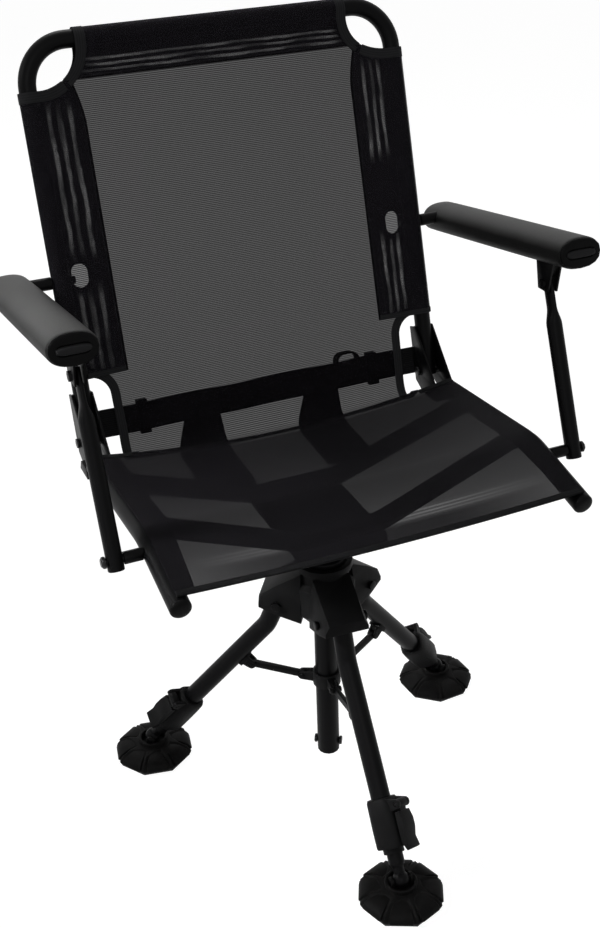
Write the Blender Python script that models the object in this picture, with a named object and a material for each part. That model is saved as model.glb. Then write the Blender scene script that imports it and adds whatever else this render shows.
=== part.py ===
"""Blind swivel chair: a mesh folding seat with arms that turns on a folding three-leg base.

Metres, +Z up. The chair faces -Y, +X is at the viewer's right, and the floor is Z = 0.
Each piece is one object. Pieces that move have their origin on their joint's axis.
"""
import math

import bmesh
import bpy
from mathutils import Matrix, Vector

# Fits
GAP = 0.0003                    # clearance between pieces that touch
RUN = 0.0006                    # side clearance of pieces that turn or slide past each other
PIN_FIT = 0.0003                # radial clearance of a pin in its hole

# Facets
TUBE_SIDES = 12
SMALL_SIDES = 8
ROUND_SIDES = 16
ARC_STEPS = 4

# Back frame
BACK_WIDTH = 0.508              # outside width of the bent tube
BACK_TUBE_R = 0.011
BACK_WALL = 0.0016
BACK_LENGTH = 0.490             # hinge axis to the axis of the top bar
BACK_BEND_R = 0.054
BACK_TAIL = 0.0065              # tube left below the hinge axis
RECLINE_DEG = 15.5
HINGE_Y = 0.181
HINGE_Z = 0.491

# Seat rails
RAIL_HALF = 0.250               # mid-plane to rail axis
RAIL_R = 0.0125
RAIL_WALL = 0.002
RAIL_REAR_Y = 0.132
RAIL_BEND_Y = -0.082
RAIL_BEND_Z = 0.495
RAIL_BEND_R = 0.080
RAIL_TILT_DEG = 4.2
NOSE_LENGTH = 0.117
NOSE_DROP_DEG = 12.3
CAP_DOME = 0.006
CAP_PLUG = 0.012

# Slings
SHEET = 0.0022                  # thickness of the mesh
SLEEVE_WALL = 0.0013
SEAT_HEM_SETBACK = 0.004        # front hem behind the rail ends, along the rail
SEAT_OVERHANG = 0.002           # mesh edge past the crown of the rail
SEAT_SAG_FRONT = 0.006
SEAT_SAG_REAR = 0.022
CREASE_HALF = 0.203             # half width of the mesh where seat and back meet
CREASE_Y = 0.172
CREASE_Z = 0.440
CREASE_STEPS = 6
SEAT_COLUMNS = 10
SLEEVE_BOTTOM = 0.0806          # along the back tube, from the hinge
CORNER_DROP = 0.060             # side sleeve's end below the top bar
CORNER_WIDE = 0.054             # top sleeve's end in from the panel's edge
NOTCH_R = 0.0266                # round top of the cut-out beside each hinge

# Hinge brackets
PLATE = 0.0025
GUSSET_UP = 0.062
BRACKET_DOWN = 0.014
WEB_LOW = 0.008                 # web's lower edge above the hinge axis, clear of the turning tail
BRACKET_FRONT_RISE = 0.008
BLOCK_DEPTH = 0.036
BLOCK_DROP = 0.014              # block top below the hinge axis
BLOCK_HEIGHT = 0.014
HINGE_PIN_R = 0.004
BOLT_HEAD_R = 0.0065
BOLT_HEAD = 0.0035

# Cross tubes and swivel plate
CRADLE_R = 0.0125
CRADLE_WALL = 0.002
CRADLE_FRONT_Y = -0.050
CRADLE_REAR_Y = 0.080
CRADLE_FLAT_HALF = 0.055
CRADLE_FLAT_Z = 0.417
CRADLE_BEND_R = 0.060
PLATE_HALF_X = 0.062
PLATE_MARGIN_Y = 0.022
PLATE_THICK = 0.006
PLATE_CORNER = 0.014

# Strap behind the lower back
STRAP_WIDTH = 0.037
STRAP_THICK = 0.002
STRAP_LOW = -0.004              # along the back, from the hinge
WEB_X = 0.086
WEB_WIDTH = 0.050
WEB_DROP = 0.054                # how far the webs hang behind the crease
SLIDER_X = 0.165
SLIDER_WIDTH = 0.014
SLIDER_BAR = 0.004

# Arms
ARM_OUT = 0.055                 # rail axis to arm bar axis
ARM_PIVOT_UP = 0.205            # along the back tube, from the hinge
ARM_PIVOT_RISE = 0.005          # pivot above the bar's axis
UPRIGHT_INSET = 0.011           # arm bar axis in to the upright's axis
UPRIGHT_R = 0.0095
UPRIGHT_WALL = 0.0014
UPRIGHT_LENGTH = 0.207
UPRIGHT_LEAN_DEG = 21.6
UPRIGHT_TAIL = 0.012
TONGUE_THICK = 0.008
TONGUE_HALF = 0.0095
STUB_Y = -0.106
STUB_R = 0.0075
JOURNAL_R = 0.005
CLIP_RISE = 0.043               # bar axis above the upright's top pivot
CLIP_HALF = 0.020
CLIP_FOOT_HALF = 0.011
CLIP_BELOW = 0.009
BAR_WIDTH = 0.040
BAR_HEIGHT = 0.012
BAR_WALL = 0.0016
BAR_FRONT = 0.046               # bar ahead of the clip
BAR_REAR = 0.020                # bar behind the rear pivot
BOSS_R = 0.008
PAD_WIDTH = 0.057
PAD_HEIGHT = 0.038
PAD_ROUND = 0.012
CAP_THICK = 0.0035
CAP_SLOT_DEPTH = 0.0018

# Base
BASE_TURN_DEG = -3.5            # the base stands turned a little under the seat
LEG_AZIMUTHS_DEG = (-90.0, 30.0, 150.0)
HUB_TOP = 0.350
HUB_RIM_R = 0.0375
HUB_CUP_R = 0.030
HUB_CUP_DEPTH = 0.012
HUB_RIM = 0.009
HUB_THROAT_R = 0.0325
HUB_CORE_R = 0.040
HUB_NECK_R = 0.026
HUB_BOTTOM = 0.262
HOOD_WIDTH = 0.062              # across a leg socket at its lower edge
HOOD_CROWN = 0.050              # across its top
HOOD_WALL = 0.004
HOOD_TOP_GAP = 0.0150           # pivot axis to the underside of the socket's roof
HOOD_ROOF = 0.012
HOOD_LIP = 0.005                # pivot axis down to the socket's outer lip
POST_R = 0.015
POST_WALL = 0.002
POST_BOTTOM = 0.042
POST_TOP = 0.2997
POST_CAP = 0.004
STOP_BOLT_Z = 0.054
STOP_BOLT_R = 0.003
BEARING_HEIGHT = 0.0085
BEARING_BORE_R = 0.0108
SPINDLE_R = 0.0102
SPINDLE_FLANGE_R = 0.0285
SPINDLE_FLANGE = 0.009
SPINDLE_NECK_R = 0.024

# Legs, in the plane of each leg: radius from the swivel axis, and height
LEG_R = 0.0125
LEG_WALL = 0.0019
LEG_PIVOT_R = 0.058
LEG_PIVOT_Z = 0.291
LEG_NECK = 0.054                # pivot to the bend
LEG_NECK_DEG = 68.0             # slope of the neck below level
LEG_BEND_R = 0.040
LEG_TOP = 0.009                 # tube past the pivot
LEG_PIN_R = 0.004
ANKLE_R = 0.254
ANKLE_Z = 0.030
LEG_TUBE_END = 0.212            # along the leg, from the bend
LOWER_R = 0.0102
LOWER_WALL = 0.0016
LOWER_START = 0.085
LOWER_END_SETBACK = 0.020       # tube end above the ankle
ANKLE_BALL_R = 0.0105
ANKLE_NECK_R = 0.0072
ANKLE_PIN_R = 0.0035

# Leg lock
LOCK_START = 0.174
LOCK_LENGTH = 0.061
LOCK_WIDTH = 0.037
LOCK_DEPTH = 0.038
LOCK_LIFT = 0.002
LOCK_TURN_DEG = 40.0            # lever side turned about the leg, from its upper side
LOCK_NECK = 0.007               # sleeve below the clamp
LOCK_NECK_R = 0.0135
LEVER_ALONG = 0.184
LEVER_UP = 0.0266
LEVER_HUB_R = 0.0058
LEVER_HUB_HALF = 0.0075
LEVER_PIN_R = 0.0024
LEVER_EAR = 0.0045
LEVER_HALF = 0.0125
LEVER_THICK = 0.0065
LEVER_ARCH = 0.0028             # back of the lever higher at a third of its length
LEVER_TIP = 0.011               # finger end past the clamp's shoulder
LEVER_FLARE = 0.0055            # finger end lifted off the clamp

# Feet
FOOT_R = 0.055
FOOT_SIDES = 8
FOOT_RIM = 0.0075
FOOT_SHOULDER = 0.0165
FOOT_CROWN = 0.0215
FOOT_CROWN_R = 0.0245
CUP_R = 0.0205                  # ring round the ankle ball
CUP_WALL = 0.0035
CUP_TOP = 0.0285
CUP_FLOOR = 0.0187
EAR_THICK = 0.0035
EAR_HALF = 0.0065
EAR_OVER = 0.006

# Braces
BRACKET_ALONG = 0.067
BRACKET_DROP = 0.0245
BRACKET_BAND = 0.018
BRACKET_WALL = 0.0025
LUG_PLATE = 0.0028
LUG_R = 0.006
BRACE_HALF_THICK = 0.0028
BRACE_HALF_HIGH = 0.0036
BRACE_EYE_R = 0.0045
BRACE_PIN_R = 0.0025
COLLAR_Z = 0.163
COLLAR_HALF = 0.010
COLLAR_WALL = 0.0031
EAR_PIVOT_R = 0.033
COLLAR_EAR_R = 0.0055
COLLAR_EAR = 0.0025

# Worked-out places
BACK_HALF = BACK_WIDTH / 2 - BACK_TUBE_R
ARM_HALF = RAIL_HALF + ARM_OUT
UPRIGHT_HALF = ARM_HALF - UPRIGHT_INSET
RECLINE = math.radians(RECLINE_DEG)
BACK_UP = Vector((0, math.sin(RECLINE), math.cos(RECLINE)))
BACK_REAR = Vector((0, math.cos(RECLINE), -math.sin(RECLINE)))
HINGE = Vector((0, HINGE_Y, HINGE_Z))
ARM_PIVOT = HINGE + BACK_UP * ARM_PIVOT_UP
RAIL_TILT = math.radians(RAIL_TILT_DEG)
NOSE_DROP = math.radians(NOSE_DROP_DEG)
RAIL_REAR_Z = RAIL_BEND_Z - (RAIL_REAR_Y - RAIL_BEND_Y) * math.tan(RAIL_TILT)
NOSE_DIR = Vector((0, -math.cos(NOSE_DROP), -math.sin(NOSE_DROP)))
RAIL_BEND = Vector((0, RAIL_BEND_Y, RAIL_BEND_Z))
RAIL_END = RAIL_BEND + NOSE_DIR * NOSE_LENGTH
STUB = RAIL_BEND + NOSE_DIR * ((RAIL_BEND_Y - STUB_Y) / math.cos(NOSE_DROP))
LEAN = math.radians(UPRIGHT_LEAN_DEG)
UPRIGHT_UP = Vector((0, math.sin(LEAN), math.cos(LEAN)))
CLIP_PIVOT = STUB + UPRIGHT_UP * UPRIGHT_LENGTH
BAR_OVER_CLIP = CLIP_PIVOT + Vector((0, 0, CLIP_RISE))
BAR_AT_PIVOT = ARM_PIVOT - Vector((0, 0, ARM_PIVOT_RISE))
BAR_DIR = (BAR_AT_PIVOT - BAR_OVER_CLIP).normalized()
BAR_FRONT_END = BAR_OVER_CLIP - BAR_DIR * BAR_FRONT
BAR_REAR_END = BAR_AT_PIVOT + BAR_DIR * BAR_REAR
SLEEVE_R = BACK_TUBE_R + GAP
PANEL_HALF = BACK_HALF - SLEEVE_R - SLEEVE_WALL / 2
SLEEVE_TOP = BACK_LENGTH - CORNER_DROP
TOP_SLEEVE_HALF = PANEL_HALF - CORNER_WIDE
PLATE_IN = BACK_TUBE_R + RUN    # tube axis to the inner face of a bracket plate
WEB_REAR = BACK_TUBE_R + GAP + PLATE
LEG_PIVOT = Vector((LEG_PIVOT_R, 0, LEG_PIVOT_Z))
NECK_SLOPE = math.radians(LEG_NECK_DEG)
NECK_DIR = Vector((math.cos(NECK_SLOPE), 0, -math.sin(NECK_SLOPE)))
LEG_BEND = LEG_PIVOT + NECK_DIR * LEG_NECK
ANKLE = Vector((ANKLE_R, 0, ANKLE_Z))
LEG_DIR = (ANKLE - LEG_BEND).normalized()
LEG_REACH = (ANKLE - LEG_BEND).length
TANGENT = Vector((0, 1, 0))
LEG_OUT = LEG_DIR.cross(TANGENT)
BRACE_LEG_END = LEG_BEND + LEG_DIR * BRACKET_ALONG - LEG_OUT * BRACKET_DROP
BRACE_COLLAR_END = Vector((EAR_PIVOT_R, 0, COLLAR_Z))
PLATE_TOP = CRADLE_FLAT_Z - CRADLE_R - GAP
FRONT_REACH = ANKLE_R * math.cos(math.radians(BASE_TURN_DEG)) + FOOT_R
REAR_REACH = HINGE_Y + BACK_UP.y * BACK_LENGTH + BACK_TUBE_R + SLEEVE_WALL + GAP
SWIVEL_Y = (FRONT_REACH - REAR_REACH) / 2


def clear_scene():
    """Empty the scene."""
    for obj in list(bpy.data.objects):
        bpy.data.objects.remove(obj, do_unlink=True)


def make_material(name, colour, roughness, metallic=0.0):
    """A plain finish."""
    material = bpy.data.materials.new(name)
    material.use_nodes = True
    shader = material.node_tree.nodes["Principled BSDF"]
    shader.inputs["Base Color"].default_value = (*colour, 1.0)
    shader.inputs["Roughness"].default_value = roughness
    shader.inputs["Metallic"].default_value = metallic
    return material


def add_empty(name, parent=None, location=(0, 0, 0), turn=(0, 0, 0)):
    """A frame that pieces hang on."""
    empty = bpy.data.objects.new(name, None)
    bpy.context.scene.collection.objects.link(empty)
    empty.parent = parent
    empty.location = location
    empty.rotation_euler = turn
    return empty


def add_mesh(name, bm, material, parent, origin):
    """Make an object from bm, whose points are in its parent's frame, with its origin at origin."""
    bmesh.ops.translate(bm, verts=bm.verts, vec=-Vector(origin))
    bmesh.ops.recalc_face_normals(bm, faces=bm.faces)
    mesh = bpy.data.meshes.new(name)
    bm.to_mesh(mesh)
    bm.free()
    mesh.shade_smooth()
    mesh.set_sharp_from_angle(angle=math.radians(35))
    if material:
        mesh.materials.append(material)
    obj = bpy.data.objects.new(name, mesh)
    bpy.context.scene.collection.objects.link(obj)
    obj.parent = parent
    obj.location = origin
    return obj


def add_piece(name, bm, material, parent, origin=(0, 0, 0), joins=(), cuts=()):
    """Make a piece, then join and cut it with closed tool shapes given in the same frame."""
    obj = add_mesh(name, bm, material, parent, origin)
    tools = [(tool, "UNION") for tool in joins] + [(tool, "DIFFERENCE") for tool in cuts]
    for number, (tool, operation) in enumerate(tools):
        helper = add_mesh(f"{name}.tool_{number}", tool, None, parent, origin)
        helper.hide_render = True
        helper.display_type = "WIRE"
        modifier = obj.modifiers.new(f"{operation.lower()}_{number}", "BOOLEAN")
        modifier.operation = operation
        modifier.solver = "EXACT"
        modifier.object = helper
    return obj


def circle(radius, sides=TUBE_SIDES):
    """Profile points of a circle."""
    turns = [2 * math.pi * i / sides for i in range(sides)]
    return [(radius * math.cos(a), radius * math.sin(a)) for a in turns]


def stadium(width, height, steps=4):
    """Profile points of a flat oval with round ends, width along the first axis."""
    radius = height / 2
    straight = width / 2 - radius
    points = []
    for centre, first in ((straight, -math.pi / 2), (-straight, math.pi / 2)):
        for i in range(steps + 1):
            a = first + math.pi * i / steps
            points.append((centre + radius * math.cos(a), radius * math.sin(a)))
    return points


def superellipse(width, height, power, sides=ROUND_SIDES):
    """Profile points between an ellipse (power 2) and a box (high power)."""
    points = []
    for i in range(sides):
        a = 2 * math.pi * i / sides
        c = math.cos(a)
        s = math.sin(a)
        points.append((math.copysign(abs(c) ** (2 / power), c) * width / 2,
                       math.copysign(abs(s) ** (2 / power), s) * height / 2))
    return points


def round_corners(points, radius, steps=ARC_STEPS):
    """A path with each inner corner replaced by an arc."""
    path = [points[0]]
    for before, corner, after in zip(points, points[1:], points[2:]):
        back = (before - corner).normalized()
        ahead = (after - corner).normalized()
        half = back.angle(ahead) / 2
        middle = corner + (back + ahead).normalized() * (radius / math.sin(half))
        start = corner + back * (radius / math.tan(half)) - middle
        end = corner + ahead * (radius / math.tan(half)) - middle
        sweep_angle = start.angle(end)
        for i in range(steps + 1):
            t = i / steps
            mix = (start * math.sin((1 - t) * sweep_angle) + end * math.sin(t * sweep_angle))
            path.append(middle + mix / math.sin(sweep_angle))
    path.append(points[-1])
    return path


def ring_points(path, index, normal, profile):
    """The profile set square to the path at one point, mitred at bends."""
    here = path[index]
    arriving = (here - path[index - 1]).normalized() if index else None
    leaving = (path[index + 1] - here).normalized() if index + 1 < len(path) else None
    arriving = arriving or leaving
    leaving = leaving or arriving
    tangent = (arriving + leaving).normalized()
    stretch = 1 / max(tangent.dot(arriving), 0.5)
    side = tangent.cross(normal).normalized()
    return [here + side * (u * stretch) + normal * v for u, v in profile]


def bridge(bm, first, second):
    """Quads between two rings with as many points."""
    count = len(first)
    for i in range(count):
        j = (i + 1) % count
        bm.faces.new((first[i], first[j], second[j], second[i]))


def loft(rings, hole_rings=None):
    """A closed solid through rings of points, with an open bore through hole_rings."""
    bm = bmesh.new()
    outer = [[bm.verts.new(p) for p in ring] for ring in rings]
    for first, second in zip(outer, outer[1:]):
        bridge(bm, first, second)
    if hole_rings is None:
        bm.faces.new(outer[0])
        bm.faces.new(outer[-1])
        return bm
    inner = [[bm.verts.new(p) for p in ring] for ring in hole_rings]
    for first, second in zip(inner, inner[1:]):
        bridge(bm, first, second)
    bridge(bm, outer[0], inner[0])
    bridge(bm, outer[-1], inner[-1])
    return bm


def sweep(path, normal, profile, bore=None):
    """A bar, or a tube if bore is given, along a path that lies square to normal."""
    count = len(path)
    rings = [ring_points(path, i, normal, profile) for i in range(count)]
    if bore is None:
        return loft(rings)
    return loft(rings, [ring_points(path, i, normal, bore) for i in range(count)])


def tube(path, normal, radius, wall, sides=TUBE_SIDES):
    """A round tube along a path."""
    return sweep(path, normal, circle(radius, sides), circle(radius - wall, sides))


def rod(start, end, radius, sides=SMALL_SIDES):
    """A plain round rod."""
    axis = (end - start).normalized()
    normal = axis.orthogonal().normalized()
    return sweep([start, end], normal, circle(radius, sides))


def drill(start, end, radius, sides=SMALL_SIDES):
    """A cutter whose flats, not its corners, stand at radius."""
    return rod(start, end, radius / math.cos(math.pi / sides), sides)


def turned(outline, origin, axis, sides=ROUND_SIDES):
    """A turned solid: outline is (radius, along) pairs, closed on the axis or as a ring."""
    axis = axis.normalized()
    first = axis.orthogonal().normalized()
    second = axis.cross(first)
    bm = bmesh.new()
    rings = []
    for radius, along in outline:
        centre = origin + axis * along
        if radius == 0:
            rings.append([bm.verts.new(centre)])
            continue
        turns = [2 * math.pi * i / sides for i in range(sides)]
        rings.append([bm.verts.new(centre + (first * math.cos(a) + second * math.sin(a)) * radius)
                      for a in turns])
    closed = outline[0][0] > 0
    pairs = list(zip(rings, rings[1:]))
    if closed:
        pairs.append((rings[-1], rings[0]))
    for a, b in pairs:
        if len(a) == 1 or len(b) == 1:
            pole, ring = (a, b) if len(a) == 1 else (b, a)
            for i in range(sides):
                bm.faces.new((pole[0], ring[i], ring[(i + 1) % sides]))
        else:
            bridge(bm, a, b)
    return bm


def prism(outline, start, end):
    """A solid between the flat outline moved by start and by end."""
    return loft([[p + start for p in outline], [p + end for p in outline]])


def merged(shapes):
    """Several closed shapes that do not meet, as one tool."""
    result = bmesh.new()
    for shape in shapes:
        mesh = bpy.data.meshes.new("merge")
        shape.to_mesh(mesh)
        shape.free()
        result.from_mesh(mesh)
        bpy.data.meshes.remove(mesh)
    return result


def moved(shape, matrix):
    """The shape under a transform."""
    shape.transform(matrix)
    return shape


def eye_outline(eye, eye_radius, root, half_width, steps=8):
    """A lug outline: square at root, round about eye. All in one plane."""
    along = (eye - root).normalized()
    side = along.cross(TANGENT).normalized()
    outline = [root - side * half_width, root + side * half_width]
    for i in range(steps + 1):
        a = math.pi * i / steps
        outline.append(eye + (side * math.cos(a) + along * math.sin(a)) * eye_radius)
    return outline


def sheet(stations, columns):
    """A thin closed sheet through stations: (centre, half width, up, sag), symmetric in X."""
    bm = bmesh.new()
    faces = []
    for height in (0.0, SHEET):
        rows = []
        for centre, half, up, sag in stations:
            row = []
            for i in range(columns + 1):
                t = 2 * i / columns - 1
                drop = Vector((-t * half, 0, sag * (1 - t * t)))
                row.append(bm.verts.new(centre + up * height - drop))
            rows.append(row)
        faces.append(rows)
        for a, b in zip(rows, rows[1:]):
            for i in range(columns):
                bm.faces.new((a[i], a[i + 1], b[i + 1], b[i]))
    low, high = faces
    rim_low = low[0] + [r[-1] for r in low[1:-1]] + low[-1][::-1] + [r[0] for r in low[-2:0:-1]]
    rim_high = high[0] + [r[-1] for r in high[1:-1]] + high[-1][::-1] + [r[0] for r in high[-2:0:-1]]
    bridge(bm, rim_low, rim_high)
    return bm


def rail_path():
    """Rail axis in the chair's mid-plane, from rear to front."""
    rear = Vector((0, RAIL_REAR_Y, RAIL_REAR_Z))
    return round_corners([rear, RAIL_BEND, RAIL_END], RAIL_BEND_R)


def rail_tool(side, radius):
    """A rod along the rail's straight rear run, for coping what meets it."""
    offset = Vector((side * RAIL_HALF, 0, 0))
    rear = Vector((0, RAIL_REAR_Y, RAIL_REAR_Z))
    run = RAIL_BEND - rear
    return drill(rear - run * 0.2 + offset, rear + run * 1.2 + offset, radius, TUBE_SIDES)


def nose_tool(side, radius):
    """A rod along the rail's dropped nose, for coping the arm stub."""
    offset = Vector((side * RAIL_HALF, 0, 0))
    return drill(RAIL_BEND + offset, RAIL_END + offset, radius, TUBE_SIDES)


def bracket_point(along, rear):
    """A place in the hinge plane: along the back tube and to its rear."""
    return HINGE + BACK_UP * along + BACK_REAR * rear


def build_rails(frame, steel, plastic):
    """Side rails of the seat and their end caps."""
    normal = Vector((1, 0, 0))
    for name, side in SIDES:
        offset = Vector((side * RAIL_HALF, 0, 0))
        path = [p + offset for p in rail_path()]
        add_piece(f"seat_rail_{name}", tube(path, normal, RAIL_R, RAIL_WALL), steel, frame)
        bore = (RAIL_R - RAIL_WALL) * math.cos(math.pi / TUBE_SIDES) - GAP
        outline = [(0, -CAP_PLUG), (bore, -CAP_PLUG), (bore, GAP), (RAIL_R, GAP),
                   (RAIL_R, GAP + CAP_DOME / 3), (RAIL_R * 0.8, GAP + CAP_DOME * 0.8),
                   (RAIL_R * 0.4, GAP + CAP_DOME), (0, GAP + CAP_DOME)]
        cap = turned(outline, RAIL_END + offset, NOSE_DIR, TUBE_SIDES)
        add_piece(f"rail_cap_{name}", cap, plastic, frame)


def build_cradles(frame, steel):
    """Dipped cross tubes between the rails."""
    for name, y in (("front", CRADLE_FRONT_Y), ("rear", CRADLE_REAR_Y)):
        rail_z = RAIL_BEND_Z - (y - RAIL_BEND_Y) * math.tan(RAIL_TILT)
        short = RAIL_R / 2 / (RAIL_HALF - CRADLE_FLAT_HALF)
        end_x = RAIL_HALF - RAIL_R / 2
        end_z = rail_z + (CRADLE_FLAT_Z - rail_z) * short
        corners = [Vector((-end_x, y, end_z)), Vector((-CRADLE_FLAT_HALF, y, CRADLE_FLAT_Z)),
                   Vector((CRADLE_FLAT_HALF, y, CRADLE_FLAT_Z)), Vector((end_x, y, end_z))]
        path = round_corners(corners, CRADLE_BEND_R)
        shape = tube(path, Vector((0, 1, 0)), CRADLE_R, CRADLE_WALL)
        copes = [rail_tool(side, RAIL_R + GAP) for _, side in SIDES]
        add_piece(f"cradle_{name}", shape, steel, frame, cuts=copes)


def build_swivel(frame, steel):
    """Plate under the cross tubes and the spindle that turns in the hub."""
    front = CRADLE_FRONT_Y - PLATE_MARGIN_Y
    rear = CRADLE_REAR_Y + PLATE_MARGIN_Y
    corner = PLATE_CORNER
    outline = []
    for cx, cy, first in ((PLATE_HALF_X, rear, 0), (-PLATE_HALF_X, rear, 90),
                          (-PLATE_HALF_X, front, 180), (PLATE_HALF_X, front, 270)):
        middle = Vector((cx - math.copysign(corner, cx), cy - math.copysign(corner, cy), PLATE_TOP))
        for step in range(3):
            a = math.radians(first + 45 * step)
            outline.append(middle + Vector((math.cos(a), math.sin(a), 0)) * corner)
    plate = prism(outline, Vector((0, 0, -PLATE_THICK)), Vector((0, 0, 0)))
    add_piece("swivel_plate", plate, steel, frame)
    seat = HUB_TOP - HUB_CUP_DEPTH + GAP + BEARING_HEIGHT + GAP
    top = PLATE_TOP - PLATE_THICK - GAP
    outline = [(0, POST_TOP + GAP), (SPINDLE_R, POST_TOP + GAP), (SPINDLE_R, seat),
               (SPINDLE_FLANGE_R, seat), (SPINDLE_FLANGE_R, seat + SPINDLE_FLANGE),
               (SPINDLE_NECK_R, seat + SPINDLE_FLANGE + 0.003), (SPINDLE_NECK_R, top), (0, top)]
    add_piece("swivel_spindle", turned(outline, Vector(), Vector((0, 0, 1))), steel, frame)


def build_hinges(frame, steel):
    """Channel brackets at the rear of the rails, and the bolts the back turns on."""
    across = Vector((1, 0, 0))
    front = RAIL_REAR_Y + GAP
    bottom = HINGE_Z - BLOCK_DROP - BLOCK_HEIGHT
    inset = PLATE * 0.4
    plate_front = front + inset
    plate_rear = WEB_REAR - PLATE / 2
    plate_outline = [Vector((0, plate_front, bottom + inset)),
                     Vector((0, plate_front, RAIL_REAR_Z + BRACKET_FRONT_RISE)),
                     bracket_point(GUSSET_UP, -BACK_TUBE_R * 0.2), bracket_point(GUSSET_UP, plate_rear),
                     bracket_point(-BRACKET_DOWN, plate_rear),
                     Vector((0, front + BLOCK_DEPTH, bottom + inset))]
    web_outline = [bracket_point(GUSSET_UP - inset, WEB_REAR - PLATE),
                   bracket_point(GUSSET_UP - inset, WEB_REAR),
                   bracket_point(WEB_LOW, WEB_REAR), bracket_point(WEB_LOW, WEB_REAR - PLATE)]
    block_outline = [Vector((0, front, bottom)), Vector((0, front, bottom + BLOCK_HEIGHT)),
                     Vector((0, front + BLOCK_DEPTH * 0.75, bottom + BLOCK_HEIGHT)),
                     Vector((0, front + BLOCK_DEPTH * 0.97, bottom))]
    block_reach = RAIL_HALF + RAIL_R - BACK_HALF
    for name, side in SIDES:
        middle = across * (side * BACK_HALF)
        reach = across * (side * (PLATE_IN + PLATE / 2))
        inner = prism(plate_outline, middle - across * (side * (PLATE_IN + PLATE)),
                      middle - across * (side * PLATE_IN))
        outer = prism(plate_outline, middle + across * (side * PLATE_IN),
                      middle + across * (side * (PLATE_IN + PLATE)))
        web = prism(web_outline, middle - reach, middle + reach)
        block = prism(block_outline, middle - reach, middle + across * (side * block_reach))
        hole = drill(HINGE + middle - reach * 2, HINGE + middle + reach * 2, HINGE_PIN_R + PIN_FIT)
        add_piece(f"hinge_bracket_{name}", block, steel, frame, joins=[inner, outer, web], cuts=[hole])
        head = PLATE_IN + PLATE + GAP
        outline = [(0, -head - BOLT_HEAD), (BOLT_HEAD_R, -head - BOLT_HEAD), (BOLT_HEAD_R, -head),
                   (HINGE_PIN_R, -head), (HINGE_PIN_R, head), (BOLT_HEAD_R, head),
                   (BOLT_HEAD_R, head + BOLT_HEAD), (0, head + BOLT_HEAD)]
        add_piece(f"hinge_bolt_{name}", turned(outline, HINGE + middle, across, SMALL_SIDES), steel, frame)


def build_seat_sling(frame, cloth):
    """Mesh over the rails, dipping behind them to meet the back at the crease."""
    path = rail_path()
    front = path[-1] - NOSE_DIR * SEAT_HEM_SETBACK
    path = [p for p in path[:-1] if p.y > front.y] + [front]
    length = RAIL_REAR_Y - front.y
    stations = []
    lift = RAIL_R + GAP * 3
    spread = [path[0].lerp(path[1], t) for t in (0.0, 0.25, 0.5, 0.75)] + path[1:]
    for index, point in enumerate(spread):
        ahead = spread[min(index + 1, len(spread) - 1)] - spread[max(index - 1, 0)]
        up = Vector((1, 0, 0)).cross(-ahead).normalized()
        share = (point.y - front.y) / length
        sag = SEAT_SAG_FRONT + (SEAT_SAG_REAR - SEAT_SAG_FRONT) * share
        stations.append((point + up * lift, RAIL_HALF + SEAT_OVERHANG, up, sag))
    stations.reverse()
    rear, _, up, sag = stations[-1]
    tail_sag = sag * (1 - (CREASE_HALF / RAIL_HALF) ** 2)
    start = rear - up * tail_sag + Vector((0, RUN * 3, 0))
    low = Vector((0, CREASE_Y, CREASE_Z))
    end = HINGE - BACK_UP * RUN * 2
    for step in range(CREASE_STEPS + 1):
        t = step / CREASE_STEPS
        here = start * (1 - t) ** 2 + low * (2 * t * (1 - t)) + end * t ** 2
        ahead = (low - start) * (1 - t) + (end - low) * t
        normal = Vector((1, 0, 0)).cross(ahead).normalized()
        stations.append((here, CREASE_HALF, normal, (sag - tail_sag) * (1 - t)))
    add_piece("seat_sling", sheet(stations, SEAT_COLUMNS), cloth, frame)


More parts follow.
